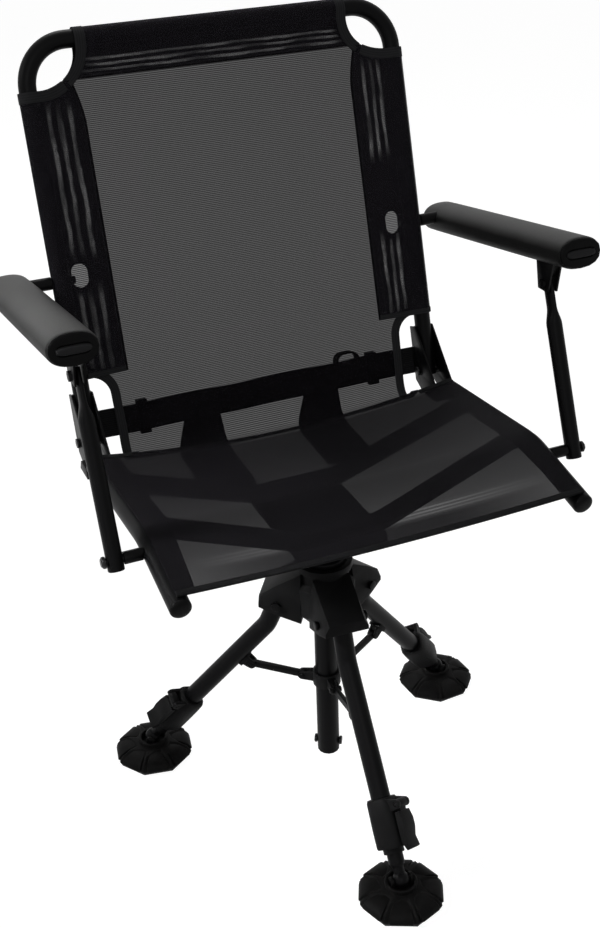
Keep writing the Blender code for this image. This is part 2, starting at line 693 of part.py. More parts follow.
def build_strap(frame, webbing, plastic):
    """Strap across the backs of the hinge brackets, its sliders, and the webs to the rear cross tube."""
    across = Vector((1, 0, 0))
    near = WEB_REAR + GAP
    far = near + STRAP_THICK
    high = STRAP_LOW + STRAP_WIDTH
    outline = [bracket_point(STRAP_LOW, near), bracket_point(high, near),
               bracket_point(high, far), bracket_point(STRAP_LOW, far)]
    half = BACK_HALF + PLATE_IN + PLATE
    band = prism(outline, across * -half, across * half)
    slope = (RAIL_BEND_Z - (CRADLE_REAR_Y - RAIL_BEND_Y) * math.tan(RAIL_TILT) - CRADLE_FLAT_Z)
    slope /= RAIL_HALF - CRADLE_FLAT_HALF
    tube_z = CRADLE_FLAT_Z + (WEB_X - CRADLE_FLAT_HALF) * slope
    at_tube = Vector((0, CRADLE_REAR_Y + CRADLE_R + GAP, tube_z))
    top = bracket_point(STRAP_LOW + STRAP_THICK * 2, far - STRAP_THICK / 2)
    hang = top + Vector((0, STRAP_THICK * 3, -WEB_DROP))
    path = round_corners([top, hang, at_tube], WEB_DROP / 3, 3)
    profile = [(-STRAP_THICK / 2, -WEB_WIDTH / 2), (STRAP_THICK / 2, -WEB_WIDTH / 2),
               (STRAP_THICK / 2, WEB_WIDTH / 2), (-STRAP_THICK / 2, WEB_WIDTH / 2)]
    webs = []
    for _, side in SIDES:
        shifted = [p + across * (side * WEB_X) for p in path]
        webs.append(sweep(shifted, across, profile))
    add_piece("webbing_strap", band, webbing, frame, joins=webs)
    for name, side in SIDES:
        middle = across * (side * SLIDER_X)
        grip = SLIDER_BAR
        ring = [bracket_point(STRAP_LOW - grip, near - GAP - grip),
                bracket_point(high + grip, near - GAP - grip),
                bracket_point(high + grip, far + GAP + grip),
                bracket_point(STRAP_LOW - grip, far + GAP + grip)]
        hole = [bracket_point(STRAP_LOW - GAP, near - GAP), bracket_point(high + GAP, near - GAP),
                bracket_point(high + GAP, far + GAP), bracket_point(STRAP_LOW - GAP, far + GAP)]
        half_x = across * (SLIDER_WIDTH / 2)
        shape = loft([[p + middle - half_x for p in ring], [p + middle + half_x for p in ring]],
                     [[p + middle - half_x for p in hole], [p + middle + half_x for p in hole]])
        add_piece(f"strap_slider_{name}", shape, plastic, frame)


def build_stubs(frame, steel):
    """Stubs on the rails that the uprights turn on, with their bolts."""
    for name, side in SIDES:
        across = Vector((side, 0, 0))
        centre = STUB + across * UPRIGHT_HALF
        shoulder = -UPRIGHT_R - RUN
        root = RAIL_HALF - UPRIGHT_HALF + RAIL_R / 2
        tip = UPRIGHT_R + RUN
        outline = [(0, root), (STUB_R, root), (STUB_R, shoulder), (JOURNAL_R, shoulder),
                   (JOURNAL_R, tip), (0, tip)]
        stub = turned(outline, centre, across, SMALL_SIDES)
        add_piece(f"arm_stub_{name}", stub, steel, frame, cuts=[nose_tool(side, RAIL_R + GAP)])
        outline = [(0, tip + GAP), (BOLT_HEAD_R + RUN, tip + GAP), (BOLT_HEAD_R + RUN, tip + BOLT_HEAD),
                   (BOLT_HEAD_R * 0.7, tip + BOLT_HEAD * 1.6), (0, tip + BOLT_HEAD * 1.6)]
        add_piece(f"stub_bolt_{name}", turned(outline, centre, across, SMALL_SIDES), steel, frame)


def build_back(frame, steel, cloth):
    """Bent tube of the back and its mesh, in a frame on the hinge: X across, Y rear, Z up the back."""
    rear = Vector((0, 1, 0))
    corners = [Vector((-BACK_HALF, 0, -BACK_TAIL)), Vector((-BACK_HALF, 0, BACK_LENGTH)),
               Vector((BACK_HALF, 0, BACK_LENGTH)), Vector((BACK_HALF, 0, -BACK_TAIL))]
    path = round_corners(corners, BACK_BEND_R, ARC_STEPS + 2)
    hole = drill(Vector((-BACK_WIDTH, 0, 0)), Vector((BACK_WIDTH, 0, 0)), HINGE_PIN_R + PIN_FIT)
    add_piece("back_frame", tube(path, rear, BACK_TUBE_R, BACK_WALL), steel, frame, cuts=[hole])

    notch_z = SLEEVE_BOTTOM - NOTCH_R
    notch_half = PANEL_HALF - NOTCH_R
    outline = [(RUN * 2, CREASE_HALF), (notch_z / 2, notch_half)]
    for step in range(ARC_STEPS + 1):
        a = math.pi / 2 * step / ARC_STEPS
        outline.append((notch_z + NOTCH_R * math.sin(a), PANEL_HALF - NOTCH_R * math.cos(a)))
    rise = BACK_LENGTH - SLEEVE_R - SLEEVE_WALL / 2 - SLEEVE_TOP
    for step in range(ARC_STEPS + 1):
        a = math.pi / 2 * step / ARC_STEPS
        outline.append((SLEEVE_TOP + rise * (1 - math.cos(a)), PANEL_HALF - CORNER_WIDE * math.sin(a)))
    stations = [(Vector((0, -SHEET / 2, z)), half, rear, 0.0) for z, half in outline]
    sleeves = []
    for _, side in SIDES:
        ends = [Vector((side * BACK_HALF, 0, SLEEVE_BOTTOM)), Vector((side * BACK_HALF, 0, SLEEVE_TOP))]
        sleeves.append(tube(ends, rear, SLEEVE_R + SLEEVE_WALL, SLEEVE_WALL))
    ends = [Vector((-TOP_SLEEVE_HALF, 0, BACK_LENGTH)), Vector((TOP_SLEEVE_HALF, 0, BACK_LENGTH))]
    sleeves.append(tube(ends, rear, SLEEVE_R + SLEEVE_WALL, SLEEVE_WALL))
    add_piece("back_sling", sheet(stations, 8), cloth, frame, joins=sleeves)


def build_arms(frame, steel, plastic, foam):
    """Arm bars, pads, caps and uprights."""
    across = Vector((1, 0, 0))
    for name, side in SIDES:
        middle = across * (side * ARM_HALF)
        front = BAR_FRONT_END + middle
        end = BAR_REAR_END + middle
        bar = sweep([front, end], across, swap(stadium(BAR_WIDTH, BAR_HEIGHT)),
                    swap(stadium(BAR_WIDTH - 2 * BAR_WALL, BAR_HEIGHT - 2 * BAR_WALL)))
        boss_in = side * (BACK_HALF + BACK_TUBE_R + SLEEVE_WALL + 2 * RUN)
        boss_out = side * (ARM_HALF - BAR_WIDTH / 4)
        boss = rod(ARM_PIVOT + across * boss_in, ARM_PIVOT + across * boss_out, BOSS_R, TUBE_SIDES)
        clip_in = TONGUE_THICK / 2 + RUN
        clip_x = across * (side * UPRIGHT_HALF)
        clip_outline = clip_shape()
        plates = [prism(clip_outline, clip_x + across * near, clip_x + across * far)
                  for near, far in ((clip_in, clip_in + PLATE), (-clip_in - PLATE, -clip_in))]
        heads = []
        for direction in (-1, 1):
            root = CLIP_PIVOT + clip_x + across * (direction * (clip_in + PLATE / 2))
            tip = CLIP_PIVOT + clip_x + across * (direction * (clip_in + PLATE + BOLT_HEAD))
            heads.append(rod(root, tip, BOLT_HEAD_R))
        pivot = ARM_PIVOT + middle
        add_piece(f"arm_bar_{name}", bar, steel, frame, origin=pivot,
                  joins=[boss, merged(plates), merged(heads)])
        build_pad(name, side, frame, foam, plastic, pivot)
        build_upright(name, side, frame, steel)


def swap(profile):
    """A profile turned a quarter, so that its width lies along the sweep's normal."""
    return [(v, u) for u, v in profile]


def clip_shape():
    """Side view of the clip's plates: wide at the bar, narrow at the upright's pivot."""
    outline = []
    for reach in (-CLIP_HALF, CLIP_HALF):
        under = BAR_OVER_CLIP + BAR_DIR * reach
        outline.append(under - Vector((0, 0, BAR_HEIGHT / 2 - BAR_WALL / 2)))
    foot = CLIP_PIVOT - Vector((0, 0, CLIP_BELOW))
    outline.append(foot + Vector((0, CLIP_FOOT_HALF, 0)))
    outline.append(foot - Vector((0, CLIP_FOOT_HALF, 0)))
    return outline


def build_pad(name, side, frame, foam, plastic, pivot):
    """Soft oval pad round the bar, and the plug in its front end."""
    across = Vector((1, 0, 0))
    middle = across * (side * ARM_HALF)
    front = BAR_FRONT_END + middle
    end = BAR_REAR_END + middle + BAR_DIR * PAD_ROUND / 2
    rings = []
    for share, size in ((0.0, 1.0), (0.5, 1.0), (1.0, 1.0), (1.5, 0.93), (2.0, 0.72)):
        place = front.lerp(end, min(share, 1.0)) + BAR_DIR * (max(share - 1.0, 0.0) * PAD_ROUND)
        profile = superellipse(PAD_WIDTH * size, PAD_HEIGHT * size, 2.3)
        rings.append(ring_points([place, place + BAR_DIR], 0, across, swap(profile)))
    bore_profile = swap(stadium(BAR_WIDTH + 2 * GAP, BAR_HEIGHT + 2 * GAP))
    bore = sweep([front - BAR_DIR * PAD_ROUND, BAR_REAR_END + middle + BAR_DIR * GAP], across, bore_profile)
    clip_in = TONGUE_THICK / 2 + RUN + PLATE + BOLT_HEAD + 2 * RUN
    notch_outline = []
    for reach, drop in ((-1, 0), (1, 0), (1, 1), (-1, 1)):
        base = BAR_OVER_CLIP + BAR_DIR * (reach * (CLIP_HALF + 2 * RUN))
        notch_outline.append(base - Vector((0, 0, drop * PAD_HEIGHT)))
    notch_x = across * (side * UPRIGHT_HALF)
    notch = prism(notch_outline, notch_x - across * clip_in, notch_x + across * clip_in)
    boss_hole = drill(ARM_PIVOT + across * (side * BACK_HALF), ARM_PIVOT + middle, BOSS_R + RUN, TUBE_SIDES)
    add_piece(f"arm_pad_{name}", loft(rings), foam, frame, origin=pivot, cuts=[bore, notch, boss_hole])

    face = front - BAR_DIR * GAP
    outer = face - BAR_DIR * CAP_THICK
    rim = swap(superellipse(PAD_WIDTH * 0.97, PAD_HEIGHT * 0.95, 2.3))
    edge = swap(superellipse(PAD_WIDTH * 0.92, PAD_HEIGHT * 0.86, 2.3))
    cap = loft([ring_points([outer, outer + BAR_DIR], 0, across, edge),
                ring_points([outer.lerp(face, 0.4), face], 0, across, rim),
                ring_points([face, face + BAR_DIR], 0, across, rim)])
    plug_profile = swap(stadium(BAR_WIDTH - 2 * BAR_WALL - 2 * GAP, BAR_HEIGHT - 2 * BAR_WALL - 2 * GAP))
    plug = sweep([face - BAR_DIR * (CAP_THICK / 2), front + BAR_DIR * CAP_PLUG], across, plug_profile)
    slot = sweep([outer - BAR_DIR * CAP_THICK, outer + BAR_DIR * CAP_SLOT_DEPTH], across,
                 swap(stadium(BAR_WIDTH * 0.95, BAR_HEIGHT)))
    add_piece(f"pad_cap_{name}", cap, plastic, frame, origin=pivot, joins=[plug], cuts=[slot])


def build_upright(name, side, frame, steel):
    """Upright tube: bored on its journal, pressed flat at the top to go between the clip's plates."""
    across = Vector((1, 0, 0))
    foot = STUB + across * (side * UPRIGHT_HALF)
    round_size = 2 * UPRIGHT_R
    flat = (2 * TONGUE_HALF, TONGUE_THICK)
    neck = UPRIGHT_LENGTH - CLIP_HALF - TONGUE_HALF
    stations = ((-UPRIGHT_TAIL, round_size, round_size), (neck - 2 * UPRIGHT_R, round_size, round_size),
                (neck, *flat), (UPRIGHT_LENGTH + TONGUE_HALF * 0.4, *flat),
                (UPRIGHT_LENGTH + TONGUE_HALF * 0.9, flat[0] * 0.6, flat[1]))
    rings = []
    for along, deep, wide in stations:
        place = foot + UPRIGHT_UP * along
        rings.append(ring_points([place, place + UPRIGHT_UP], 0, across, superellipse(deep, wide, 2.2, TUBE_SIDES)))
    bore_top = foot + UPRIGHT_UP * (neck - 3 * UPRIGHT_R)
    bore = rod(foot - UPRIGHT_UP * (2 * UPRIGHT_TAIL), bore_top, UPRIGHT_R - UPRIGHT_WALL, TUBE_SIDES)
    reach = across * (2 * UPRIGHT_R)
    eye = drill(foot - reach, foot + reach, JOURNAL_R + PIN_FIT)
    add_piece(f"arm_upright_{name}", loft(rings), steel, frame, origin=foot, cuts=[bore, eye])


def hood_ring(radius, low, high, width):
    """Section of a leg socket at one radius: upright sides drawn in towards the top."""
    foot = HOOD_WIDTH / 2 * width
    crown = HOOD_CROWN / 2 * width
    knee = low + (high - low) * 0.35
    return [Vector((radius, y, z)) for y, z in ((-foot, low), (foot, low), (foot, knee),
                                                (crown, high), (-crown, high), (-foot, knee))]


def build_hub(frame, plastic, steel, leg_turns):
    """Moulded hub with three leg sockets, the bearing ring, the post and its fittings."""
    up = Vector((0, 0, 1))
    cup = HUB_TOP - HUB_CUP_DEPTH
    bore = POST_R + GAP
    roof = LEG_PIVOT_Z + HOOD_TOP_GAP
    shoulder = roof + HOOD_ROOF
    outline = [(bore, HUB_BOTTOM), (HUB_NECK_R, HUB_BOTTOM), (HUB_CORE_R, HUB_BOTTOM + HUB_THROAT_R / 2),
               (HUB_CORE_R, shoulder), (HUB_THROAT_R, shoulder + HOOD_ROOF / 2),
               (HUB_THROAT_R, HUB_TOP - HUB_RIM * 1.2), (HUB_RIM_R, HUB_TOP - HUB_RIM), (HUB_RIM_R, HUB_TOP),
               (HUB_CUP_R, HUB_TOP), (HUB_CUP_R, cup), (SPINDLE_R + GAP, cup),
               (SPINDLE_R + GAP, POST_TOP + GAP), (bore, POST_TOP + GAP)]
    core = turned(outline, Vector(), up)
    lip_r = LEG_PIVOT_R + LEG_R * 1.6 + HOOD_WALL
    lip_z = LEG_PIVOT_Z - HOOD_LIP
    inner_z = HUB_BOTTOM + HOOD_WALL
    hood_rings = [hood_ring(HUB_NECK_R, inner_z, HUB_TOP - HUB_RIM * 1.4, 1.0),
                  hood_ring(LEG_PIVOT_R, (inner_z + lip_z) / 2, shoulder, 0.98),
                  hood_ring(lip_r, lip_z, LEG_PIVOT_Z + HOOD_LIP * 2, 0.94)]
    slot_half = LEG_R + RUN
    swing = LEG_R + RUN * 3
    slot_side = [Vector((LEG_PIVOT_R - LEG_R * 2.3, 0, HUB_BOTTOM - LEG_R * 2)),
                 Vector((LEG_PIVOT_R - swing * 1.25, 0, LEG_PIVOT_Z + LEG_R * 0.5)),
                 Vector((LEG_PIVOT_R - swing * 0.6, 0, roof)), Vector((LEG_PIVOT_R + swing * 0.7, 0, roof)),
                 Vector((lip_r - HOOD_WALL, 0, LEG_PIVOT_Z + LEG_R * 0.3)),
                 Vector((lip_r - HOOD_WALL, 0, HUB_BOTTOM - LEG_R * 2))]
    hoods = []
    slots = []
    holes = []
    for turn in leg_turns:
        hoods.append(moved(loft(hood_rings), turn))
        slots.append(moved(prism(slot_side, TANGENT * -slot_half, TANGENT * slot_half), turn))
        pin_line = TANGENT * HOOD_WIDTH
        holes.append(moved(drill(LEG_PIVOT - pin_line, LEG_PIVOT + pin_line, LEG_PIN_R + PIN_FIT), turn))
    add_piece("hub_body", core, plastic, frame, joins=[merged(hoods)], cuts=[merged(slots), merged(holes)])

    base = cup + GAP
    ring = [(BEARING_BORE_R, base), (HUB_CUP_R - GAP, base), (HUB_CUP_R - GAP, base + BEARING_HEIGHT),
            (BEARING_BORE_R, base + BEARING_HEIGHT)]
    add_piece("swivel_bearing", turned(ring, Vector(), up), steel, frame)

    post = [(POST_R - POST_WALL, POST_BOTTOM), (POST_R, POST_BOTTOM), (POST_R, POST_TOP),
            (POST_R - POST_WALL, POST_TOP)]
    bolt_dir = leg_turns[2] @ Vector((1, 0, 0))
    bolt_at = Vector((0, 0, STOP_BOLT_Z))
    bolt_hole = drill(bolt_at - bolt_dir * (2 * POST_R), bolt_at + bolt_dir * (2 * POST_R), STOP_BOLT_R + PIN_FIT)
    add_piece("center_post", turned(post, Vector(), up, TUBE_SIDES + 2), steel, frame, cuts=[bolt_hole])
    head = POST_R + GAP
    bolt = [(0, -head - BOLT_HEAD), (STOP_BOLT_R * 2, -head - BOLT_HEAD), (STOP_BOLT_R * 2, -head),
            (STOP_BOLT_R, -head), (STOP_BOLT_R, head), (STOP_BOLT_R * 2, head),
            (STOP_BOLT_R * 2, head + BOLT_HEAD), (0, head + BOLT_HEAD)]
    add_piece("post_stop_bolt", turned(bolt, bolt_at, bolt_dir, SMALL_SIDES), steel, frame)
    plug = POST_R - POST_WALL - GAP
    low = POST_BOTTOM - GAP
    cap = [(0, low - POST_CAP), (POST_R * 0.8, low - POST_CAP), (POST_R, low - POST_CAP / 2), (POST_R, low),
           (plug, low), (plug, low + POST_CAP * 1.5), (0, low + POST_CAP * 1.5)]
    add_piece("post_end_cap", turned(cap, Vector(), up, TUBE_SIDES + 2), plastic, frame)


def build_collar(frame, plastic, leg_turns):
    """Sleeve that slides on the post, with a pair of ears for each brace."""
    inner = POST_R + RUN
    outer = inner + COLLAR_WALL
    sleeve = [(inner, -COLLAR_HALF), (outer, -COLLAR_HALF), (outer, COLLAR_HALF), (inner, COLLAR_HALF)]
    body = turned(sleeve, Vector((0, 0, COLLAR_Z)), Vector((0, 0, 1)))
    root = Vector((inner + COLLAR_WALL / 2, 0, COLLAR_Z))
    outline = eye_outline(BRACE_COLLAR_END, COLLAR_EAR_R, root, COLLAR_HALF * 0.7)
    near = BRACE_HALF_THICK + RUN
    ears = []
    rivets = []
    for turn in leg_turns:
        for direction in (-1, 1):
            ears.append(moved(prism(outline, TANGENT * (direction * near),
                                    TANGENT * (direction * (near + COLLAR_EAR))), turn))
            start = BRACE_COLLAR_END + TANGENT * (direction * (near + COLLAR_EAR / 2))
            tip = BRACE_COLLAR_END + TANGENT * (direction * (near + COLLAR_EAR * 1.8))
            rivets.append(moved(rod(start, tip, COLLAR_EAR_R * 0.7), turn))
    add_piece("brace_collar", body, plastic, frame, origin=(0, 0, COLLAR_Z),
              joins=[merged(ears), merged(rivets)])


def leg_axes():
    """Transform from (along the leg, tangent, outward) to the leg's plane."""
    matrix = Matrix.Identity(4)
    for column, axis in enumerate((LEG_DIR, TANGENT, LEG_OUT)):
        matrix.col[column] = (*axis, 0)
    matrix.translation = LEG_BEND
    return matrix


def build_leg(number, frame, steel, plastic, rubber):
    """One leg: upper tube, bracket, lock, lower tube, foot and brace."""
    axes = leg_axes()
    corners = [LEG_PIVOT - NECK_DIR * LEG_TOP, LEG_BEND, LEG_BEND + LEG_DIR * LEG_TUBE_END]
    path = round_corners(corners, LEG_BEND_R, ARC_STEPS - 1)
    pin_line = TANGENT * (2 * LEG_R)
    hole = drill(LEG_PIVOT - pin_line, LEG_PIVOT + pin_line, LEG_PIN_R + PIN_FIT)
    add_piece(f"leg_tube_{number}", tube(path, TANGENT, LEG_R, LEG_WALL), steel, frame,
              origin=LEG_PIVOT, cuts=[hole])
    head = HOOD_WIDTH / 2 + GAP
    pin = [(0, -head - BOLT_HEAD), (LEG_PIN_R * 1.6, -head - BOLT_HEAD), (LEG_PIN_R * 1.6, -head),
           (LEG_PIN_R, -head), (LEG_PIN_R, head), (LEG_PIN_R * 1.6, head),
           (LEG_PIN_R * 1.6, head + BOLT_HEAD), (0, head + BOLT_HEAD)]
    add_piece(f"leg_pivot_pin_{number}", turned(pin, LEG_PIVOT, TANGENT, SMALL_SIDES), steel, frame,
              origin=LEG_PIVOT)
    build_bracket(number, frame, plastic, axes)
    build_lock(number, frame, plastic)
    build_lower(number, frame, steel, axes)
    build_foot(number, frame, rubber)
    build_brace(number, frame, steel)


def build_bracket(number, frame, plastic, axes):
    """Saddle under the upper tube with a lug for the brace."""
    inner = LEG_R + GAP
    half = BRACKET_BAND / 2
    side = BRACE_HALF_THICK + RUN + LUG_PLATE
    base = Vector((BRACKET_ALONG, 0, 0))
    top = Vector((0, 0, -inner * 0.55))
    low = Vector((0, 0, -inner - BRACKET_WALL))
    along = Vector((half, 0, 0))
    outline = [base - along + top, base + along + top, base + along + low, base - along + low]
    body = prism(outline, TANGENT * (-side - BRACKET_WALL), TANGENT * (side + BRACKET_WALL))
    reach = Vector((BRACKET_BAND, 0, 0))
    seat = drill(base - reach, base + reach, inner, ROUND_SIDES)
    eye = base - Vector((0, 0, BRACKET_DROP))
    lug = eye_outline(eye, LUG_R, base + low * 0.97, half * 0.85)
    near = BRACE_HALF_THICK + RUN
    plates = [prism(lug, TANGENT * (d * near), TANGENT * (d * (near + LUG_PLATE))) for d in (-1, 1)]
    reach = TANGENT * (near + LUG_PLATE * 2)
    hole = drill(eye - reach, eye + reach, BRACE_PIN_R + PIN_FIT)
    add_piece(f"brace_bracket_{number}", moved(body, axes), plastic, frame, origin=LEG_PIVOT,
              joins=[moved(merged(plates), axes)], cuts=[moved(seat, axes), moved(hole, axes)])


def lock_axes():
    """Transform from (along the leg, across the lever, towards the lever) to the leg's plane."""
    return leg_axes() @ Matrix.Rotation(math.radians(-LOCK_TURN_DEG), 4, "X")


def build_lock(number, frame, plastic):
    """Clamp body at the end of the upper tube, and its flip lever."""
    axes = lock_axes()
    along = Vector((1, 0, 0))
    rings = []
    sizes = ((0.0, 0.84, 0.84), (0.06, 0.93, 0.93), (0.24, 1.0, 1.0), (0.6, 1.02, 1.03),
             (0.96, 1.0, 1.05), (1.0, 0.95, 1.0))
    for share, wide, deep in sizes:
        lift = LOCK_LIFT * min(1.0, 4 * share)
        centre = Vector((LOCK_START + LOCK_LENGTH * share, 0, lift))
        profile = superellipse(LOCK_DEPTH * deep, LOCK_WIDTH * wide, 3.2)
        rings.append(ring_points([centre, centre + along], 0, TANGENT, profile))
    seat = Vector((LEG_TUBE_END + GAP, 0, 0))
    upper_bore = drill(Vector((LOCK_START - LEG_R, 0, 0)), seat, LEG_R + GAP, TUBE_SIDES)
    lower_end = LOCK_START + LOCK_LENGTH + LOCK_NECK
    sleeve = rod(seat, along * lower_end, LOCK_NECK_R, TUBE_SIDES)
    lower_bore = drill(seat - along * LEG_R, along * (lower_end + LEG_R), LOWER_R + GAP, TUBE_SIDES)
    pivot = Vector((LEVER_ALONG, 0, LEVER_UP))
    ear_in = LEVER_HUB_HALF + RUN
    root = Vector((LEVER_ALONG, 0, LOCK_DEPTH * 0.38))
    outline = eye_outline(pivot, LEVER_HUB_R, root, LEVER_HUB_R * 1.4)
    ears = [prism(outline, TANGENT * (d * ear_in), TANGENT * (d * (ear_in + LEVER_EAR))) for d in (-1, 1)]
    reach = TANGENT * (ear_in + LEVER_EAR * 2)
    hole = drill(pivot - reach, pivot + reach, LEVER_PIN_R + PIN_FIT)
    clear = LEVER_HUB_R + RUN
    pocket = drill(pivot - TANGENT * ear_in, pivot + TANGENT * ear_in, clear, TUBE_SIDES)
    add_piece(f"lock_housing_{number}", moved(loft(rings), axes), plastic, frame, origin=LEG_PIVOT,
              joins=[moved(sleeve, axes), moved(merged(ears), axes)],
              cuts=[moved(upper_bore, axes), moved(lower_bore, axes), moved(hole, axes), moved(pocket, axes)])

    top = LOCK_DEPTH * 1.05 / 2 + LOCK_LIFT + RUN
    start = LEVER_ALONG + LEVER_HUB_R * 1.5 + RUN
    end = LOCK_START + LOCK_LENGTH - LEVER_TIP / 2
    high = top + LEVER_THICK
    crest = high + LEVER_ARCH
    flap_side = [Vector((start, 0, top)), Vector((end, 0, top)),
                 Vector((end + LEVER_TIP, 0, top + LEVER_FLARE)),
                 Vector((end + LEVER_TIP * 0.85, 0, high + LEVER_FLARE * 0.5)),
                 Vector((end - LEVER_TIP * 0.3, 0, high)),
                 Vector((start + (end - start) * 0.6, 0, crest)), Vector((start + (end - start) * 0.3, 0, crest)),
                 Vector((start, 0, high))]
    flap = prism(flap_side, TANGENT * -LEVER_HALF, TANGENT * LEVER_HALF)
    neck_side = [Vector((LEVER_ALONG, 0, top + RUN)), Vector((start + RUN * 4, 0, top + RUN)),
                 Vector((start + RUN * 4, 0, high - RUN)), Vector((LEVER_ALONG, 0, high - RUN))]
    neck = prism(neck_side, TANGENT * -LEVER_HUB_HALF * 0.9, TANGENT * LEVER_HUB_HALF * 0.9)
    pin_reach = TANGENT * (ear_in + LEVER_EAR * 0.9)
    hub_line = TANGENT * LEVER_HUB_HALF
    hub = rod(pivot - hub_line, pivot + hub_line, LEVER_HUB_R, TUBE_SIDES)
    pin = rod(pivot - pin_reach, pivot + pin_reach, LEVER_PIN_R)
    add_piece(f"lock_lever_{number}", moved(flap, axes), plastic, frame, origin=axes @ pivot,
              joins=[moved(neck, axes), moved(hub, axes), moved(pin, axes)])


def build_lower(number, frame, steel, axes):
    """Telescoping lower tube with its ankle ball and cross pin."""
    along = Vector((1, 0, 0))
    ankle = along * LEG_REACH
    tube_end = along * (LEG_REACH - LOWER_END_SETBACK)
    body = tube([along * LOWER_START, tube_end], TANGENT, LOWER_R, LOWER_WALL)
    plug = LOWER_R - LOWER_WALL / 2
    stem = [(0, -LOWER_R), (plug, -LOWER_R), (plug, LOWER_WALL), (ANKLE_NECK_R, LOWER_WALL * 3),
            (ANKLE_NECK_R, LOWER_END_SETBACK), (0, LOWER_END_SETBACK)]
    neck = turned(stem, tube_end, along, TUBE_SIDES)
    outline = []
    for step in range(SMALL_SIDES + 1):
        a = math.pi * step / SMALL_SIDES
        radius = ANKLE_BALL_R * math.sin(a) if 0 < step < SMALL_SIDES else 0
        outline.append((radius, -ANKLE_BALL_R * math.cos(a)))
    ball = turned(outline, ankle, TANGENT, ROUND_SIDES)
    reach = TANGENT * (ANKLE_BALL_R + RUN + EAR_THICK)
    pin = rod(ankle - reach, ankle + reach, ANKLE_PIN_R)
    add_piece(f"lower_tube_{number}", moved(body, axes), steel, frame, origin=LEG_PIVOT,
              joins=[moved(neck, axes), moved(ball, axes), moved(pin, axes)])


def foot_ring(ridge_r, ridge_z, valley_r, valley_z):
    """Points round a foot, on its ridges and in the valleys between them by turns."""
    ring = []
    for i in range(2 * FOOT_SIDES):
        a = math.pi * i / FOOT_SIDES
        radius = valley_r if i % 2 else ridge_r
        z = valley_z if i % 2 else ridge_z
        ring.append(Vector((ANKLE_R + radius * math.cos(a), radius * math.sin(a), z)))
    return ring


def build_foot(number, frame, rubber):
    """Wide fluted foot with a cup for the ankle ball, and a yoke in it for the pin."""
    flat = FOOT_R * math.cos(math.pi / FOOT_SIDES)
    rings = [foot_ring(FOOT_R * 0.94, 0, flat * 0.94, 0),
             foot_ring(FOOT_R, FOOT_RIM, flat * 0.985, FOOT_RIM * 0.7),
             foot_ring(FOOT_R * 0.9, FOOT_SHOULDER * 0.92, flat * 0.84, FOOT_SHOULDER * 0.62),
             foot_ring(FOOT_R * 0.68, FOOT_CROWN * 0.96, flat * 0.62, FOOT_CROWN * 0.72)]
    lip = CUP_WALL / 4
    inner = CUP_R - CUP_WALL
    for radius, z in ((FOOT_CROWN_R, FOOT_CROWN), (CUP_R, FOOT_CROWN + lip), (CUP_R, CUP_TOP - lip),
                      (CUP_R - lip, CUP_TOP), (inner, CUP_TOP), (inner - lip, CUP_FLOOR)):
        rings.append(foot_ring(radius, z, radius, z))
    near = ANKLE_BALL_R + RUN
    root = Vector((ANKLE_R, 0, CUP_FLOOR - EAR_THICK))
    outline = eye_outline(ANKLE, EAR_OVER, root, EAR_HALF)
    ears = [prism(outline, TANGENT * (d * near), TANGENT * (d * (near + EAR_THICK))) for d in (-1, 1)]
    reach = TANGENT * (near + EAR_THICK + RUN)
    hole = drill(ANKLE - reach, ANKLE + reach, ANKLE_PIN_R + PIN_FIT)
    add_piece(f"foot_{number}", loft(rings), rubber, frame, origin=ANKLE, joins=[merged(ears)], cuts=[hole])


def build_brace(number, frame, steel):
    """Strut from the leg's lug to the collar's ears."""
    half = TANGENT * BRACE_HALF_THICK
    middle = (BRACE_LEG_END + BRACE_COLLAR_END) / 2
    leg_half = eye_outline(BRACE_LEG_END, BRACE_EYE_R, middle, BRACE_HALF_HIGH)
    collar_half = eye_outline(BRACE_COLLAR_END, BRACE_EYE_R, middle, BRACE_HALF_HIGH)
    outline = leg_half[2:] + collar_half[2:]
    reach = TANGENT * (BRACE_HALF_THICK + RUN + LUG_PLATE)
    pin = rod(BRACE_LEG_END - reach, BRACE_LEG_END + reach, BRACE_PIN_R)
    add_piece(f"brace_{number}", prism(outline, -half, half), steel, frame, origin=BRACE_LEG_END, joins=[pin])


SIDES = (("left", -1), ("right", 1))


def main():
    """Build the chair."""
    clear_scene()
    steel = make_material("black powder coat", (0.018, 0.018, 0.02), 0.42)
    plastic = make_material("moulded plastic", (0.02, 0.02, 0.021), 0.5)
    rubber = make_material("foot rubber", (0.022, 0.022, 0.023), 0.6)
    cloth = make_material("mesh cloth", (0.045, 0.044, 0.046), 0.85)
    foam = make_material("arm foam", (0.03, 0.03, 0.03), 0.6)
    webbing = make_material("webbing", (0.015, 0.015, 0.016), 0.8)

    chair = add_empty("chair", location=(0, SWIVEL_Y, 0))
    build_rails(chair, steel, plastic)
    build_cradles(chair, steel)
    build_swivel(chair, steel)
    build_hinges(chair, steel)
    build_seat_sling(chair, cloth)
    build_strap(chair, webbing, plastic)
    build_stubs(chair, steel)
    hinge = add_empty("back_hinge", chair, HINGE, (-RECLINE, 0, 0))
    build_back(hinge, steel, cloth)
    build_arms(chair, steel, plastic, foam)

    base = add_empty("base", chair, turn=(0, 0, math.radians(BASE_TURN_DEG)))
    turns = [Matrix.Rotation(math.radians(a), 4, "Z") for a in LEG_AZIMUTHS_DEG]
    build_hub(base, plastic, steel, turns)
    build_collar(base, plastic, turns)
    for number, azimuth in enumerate(LEG_AZIMUTHS_DEG, start=1):
        leg = add_empty(f"leg_{number}", base, turn=(0, 0, math.radians(azimuth)))
        build_leg(number, leg, steel, plastic, rubber)


main()
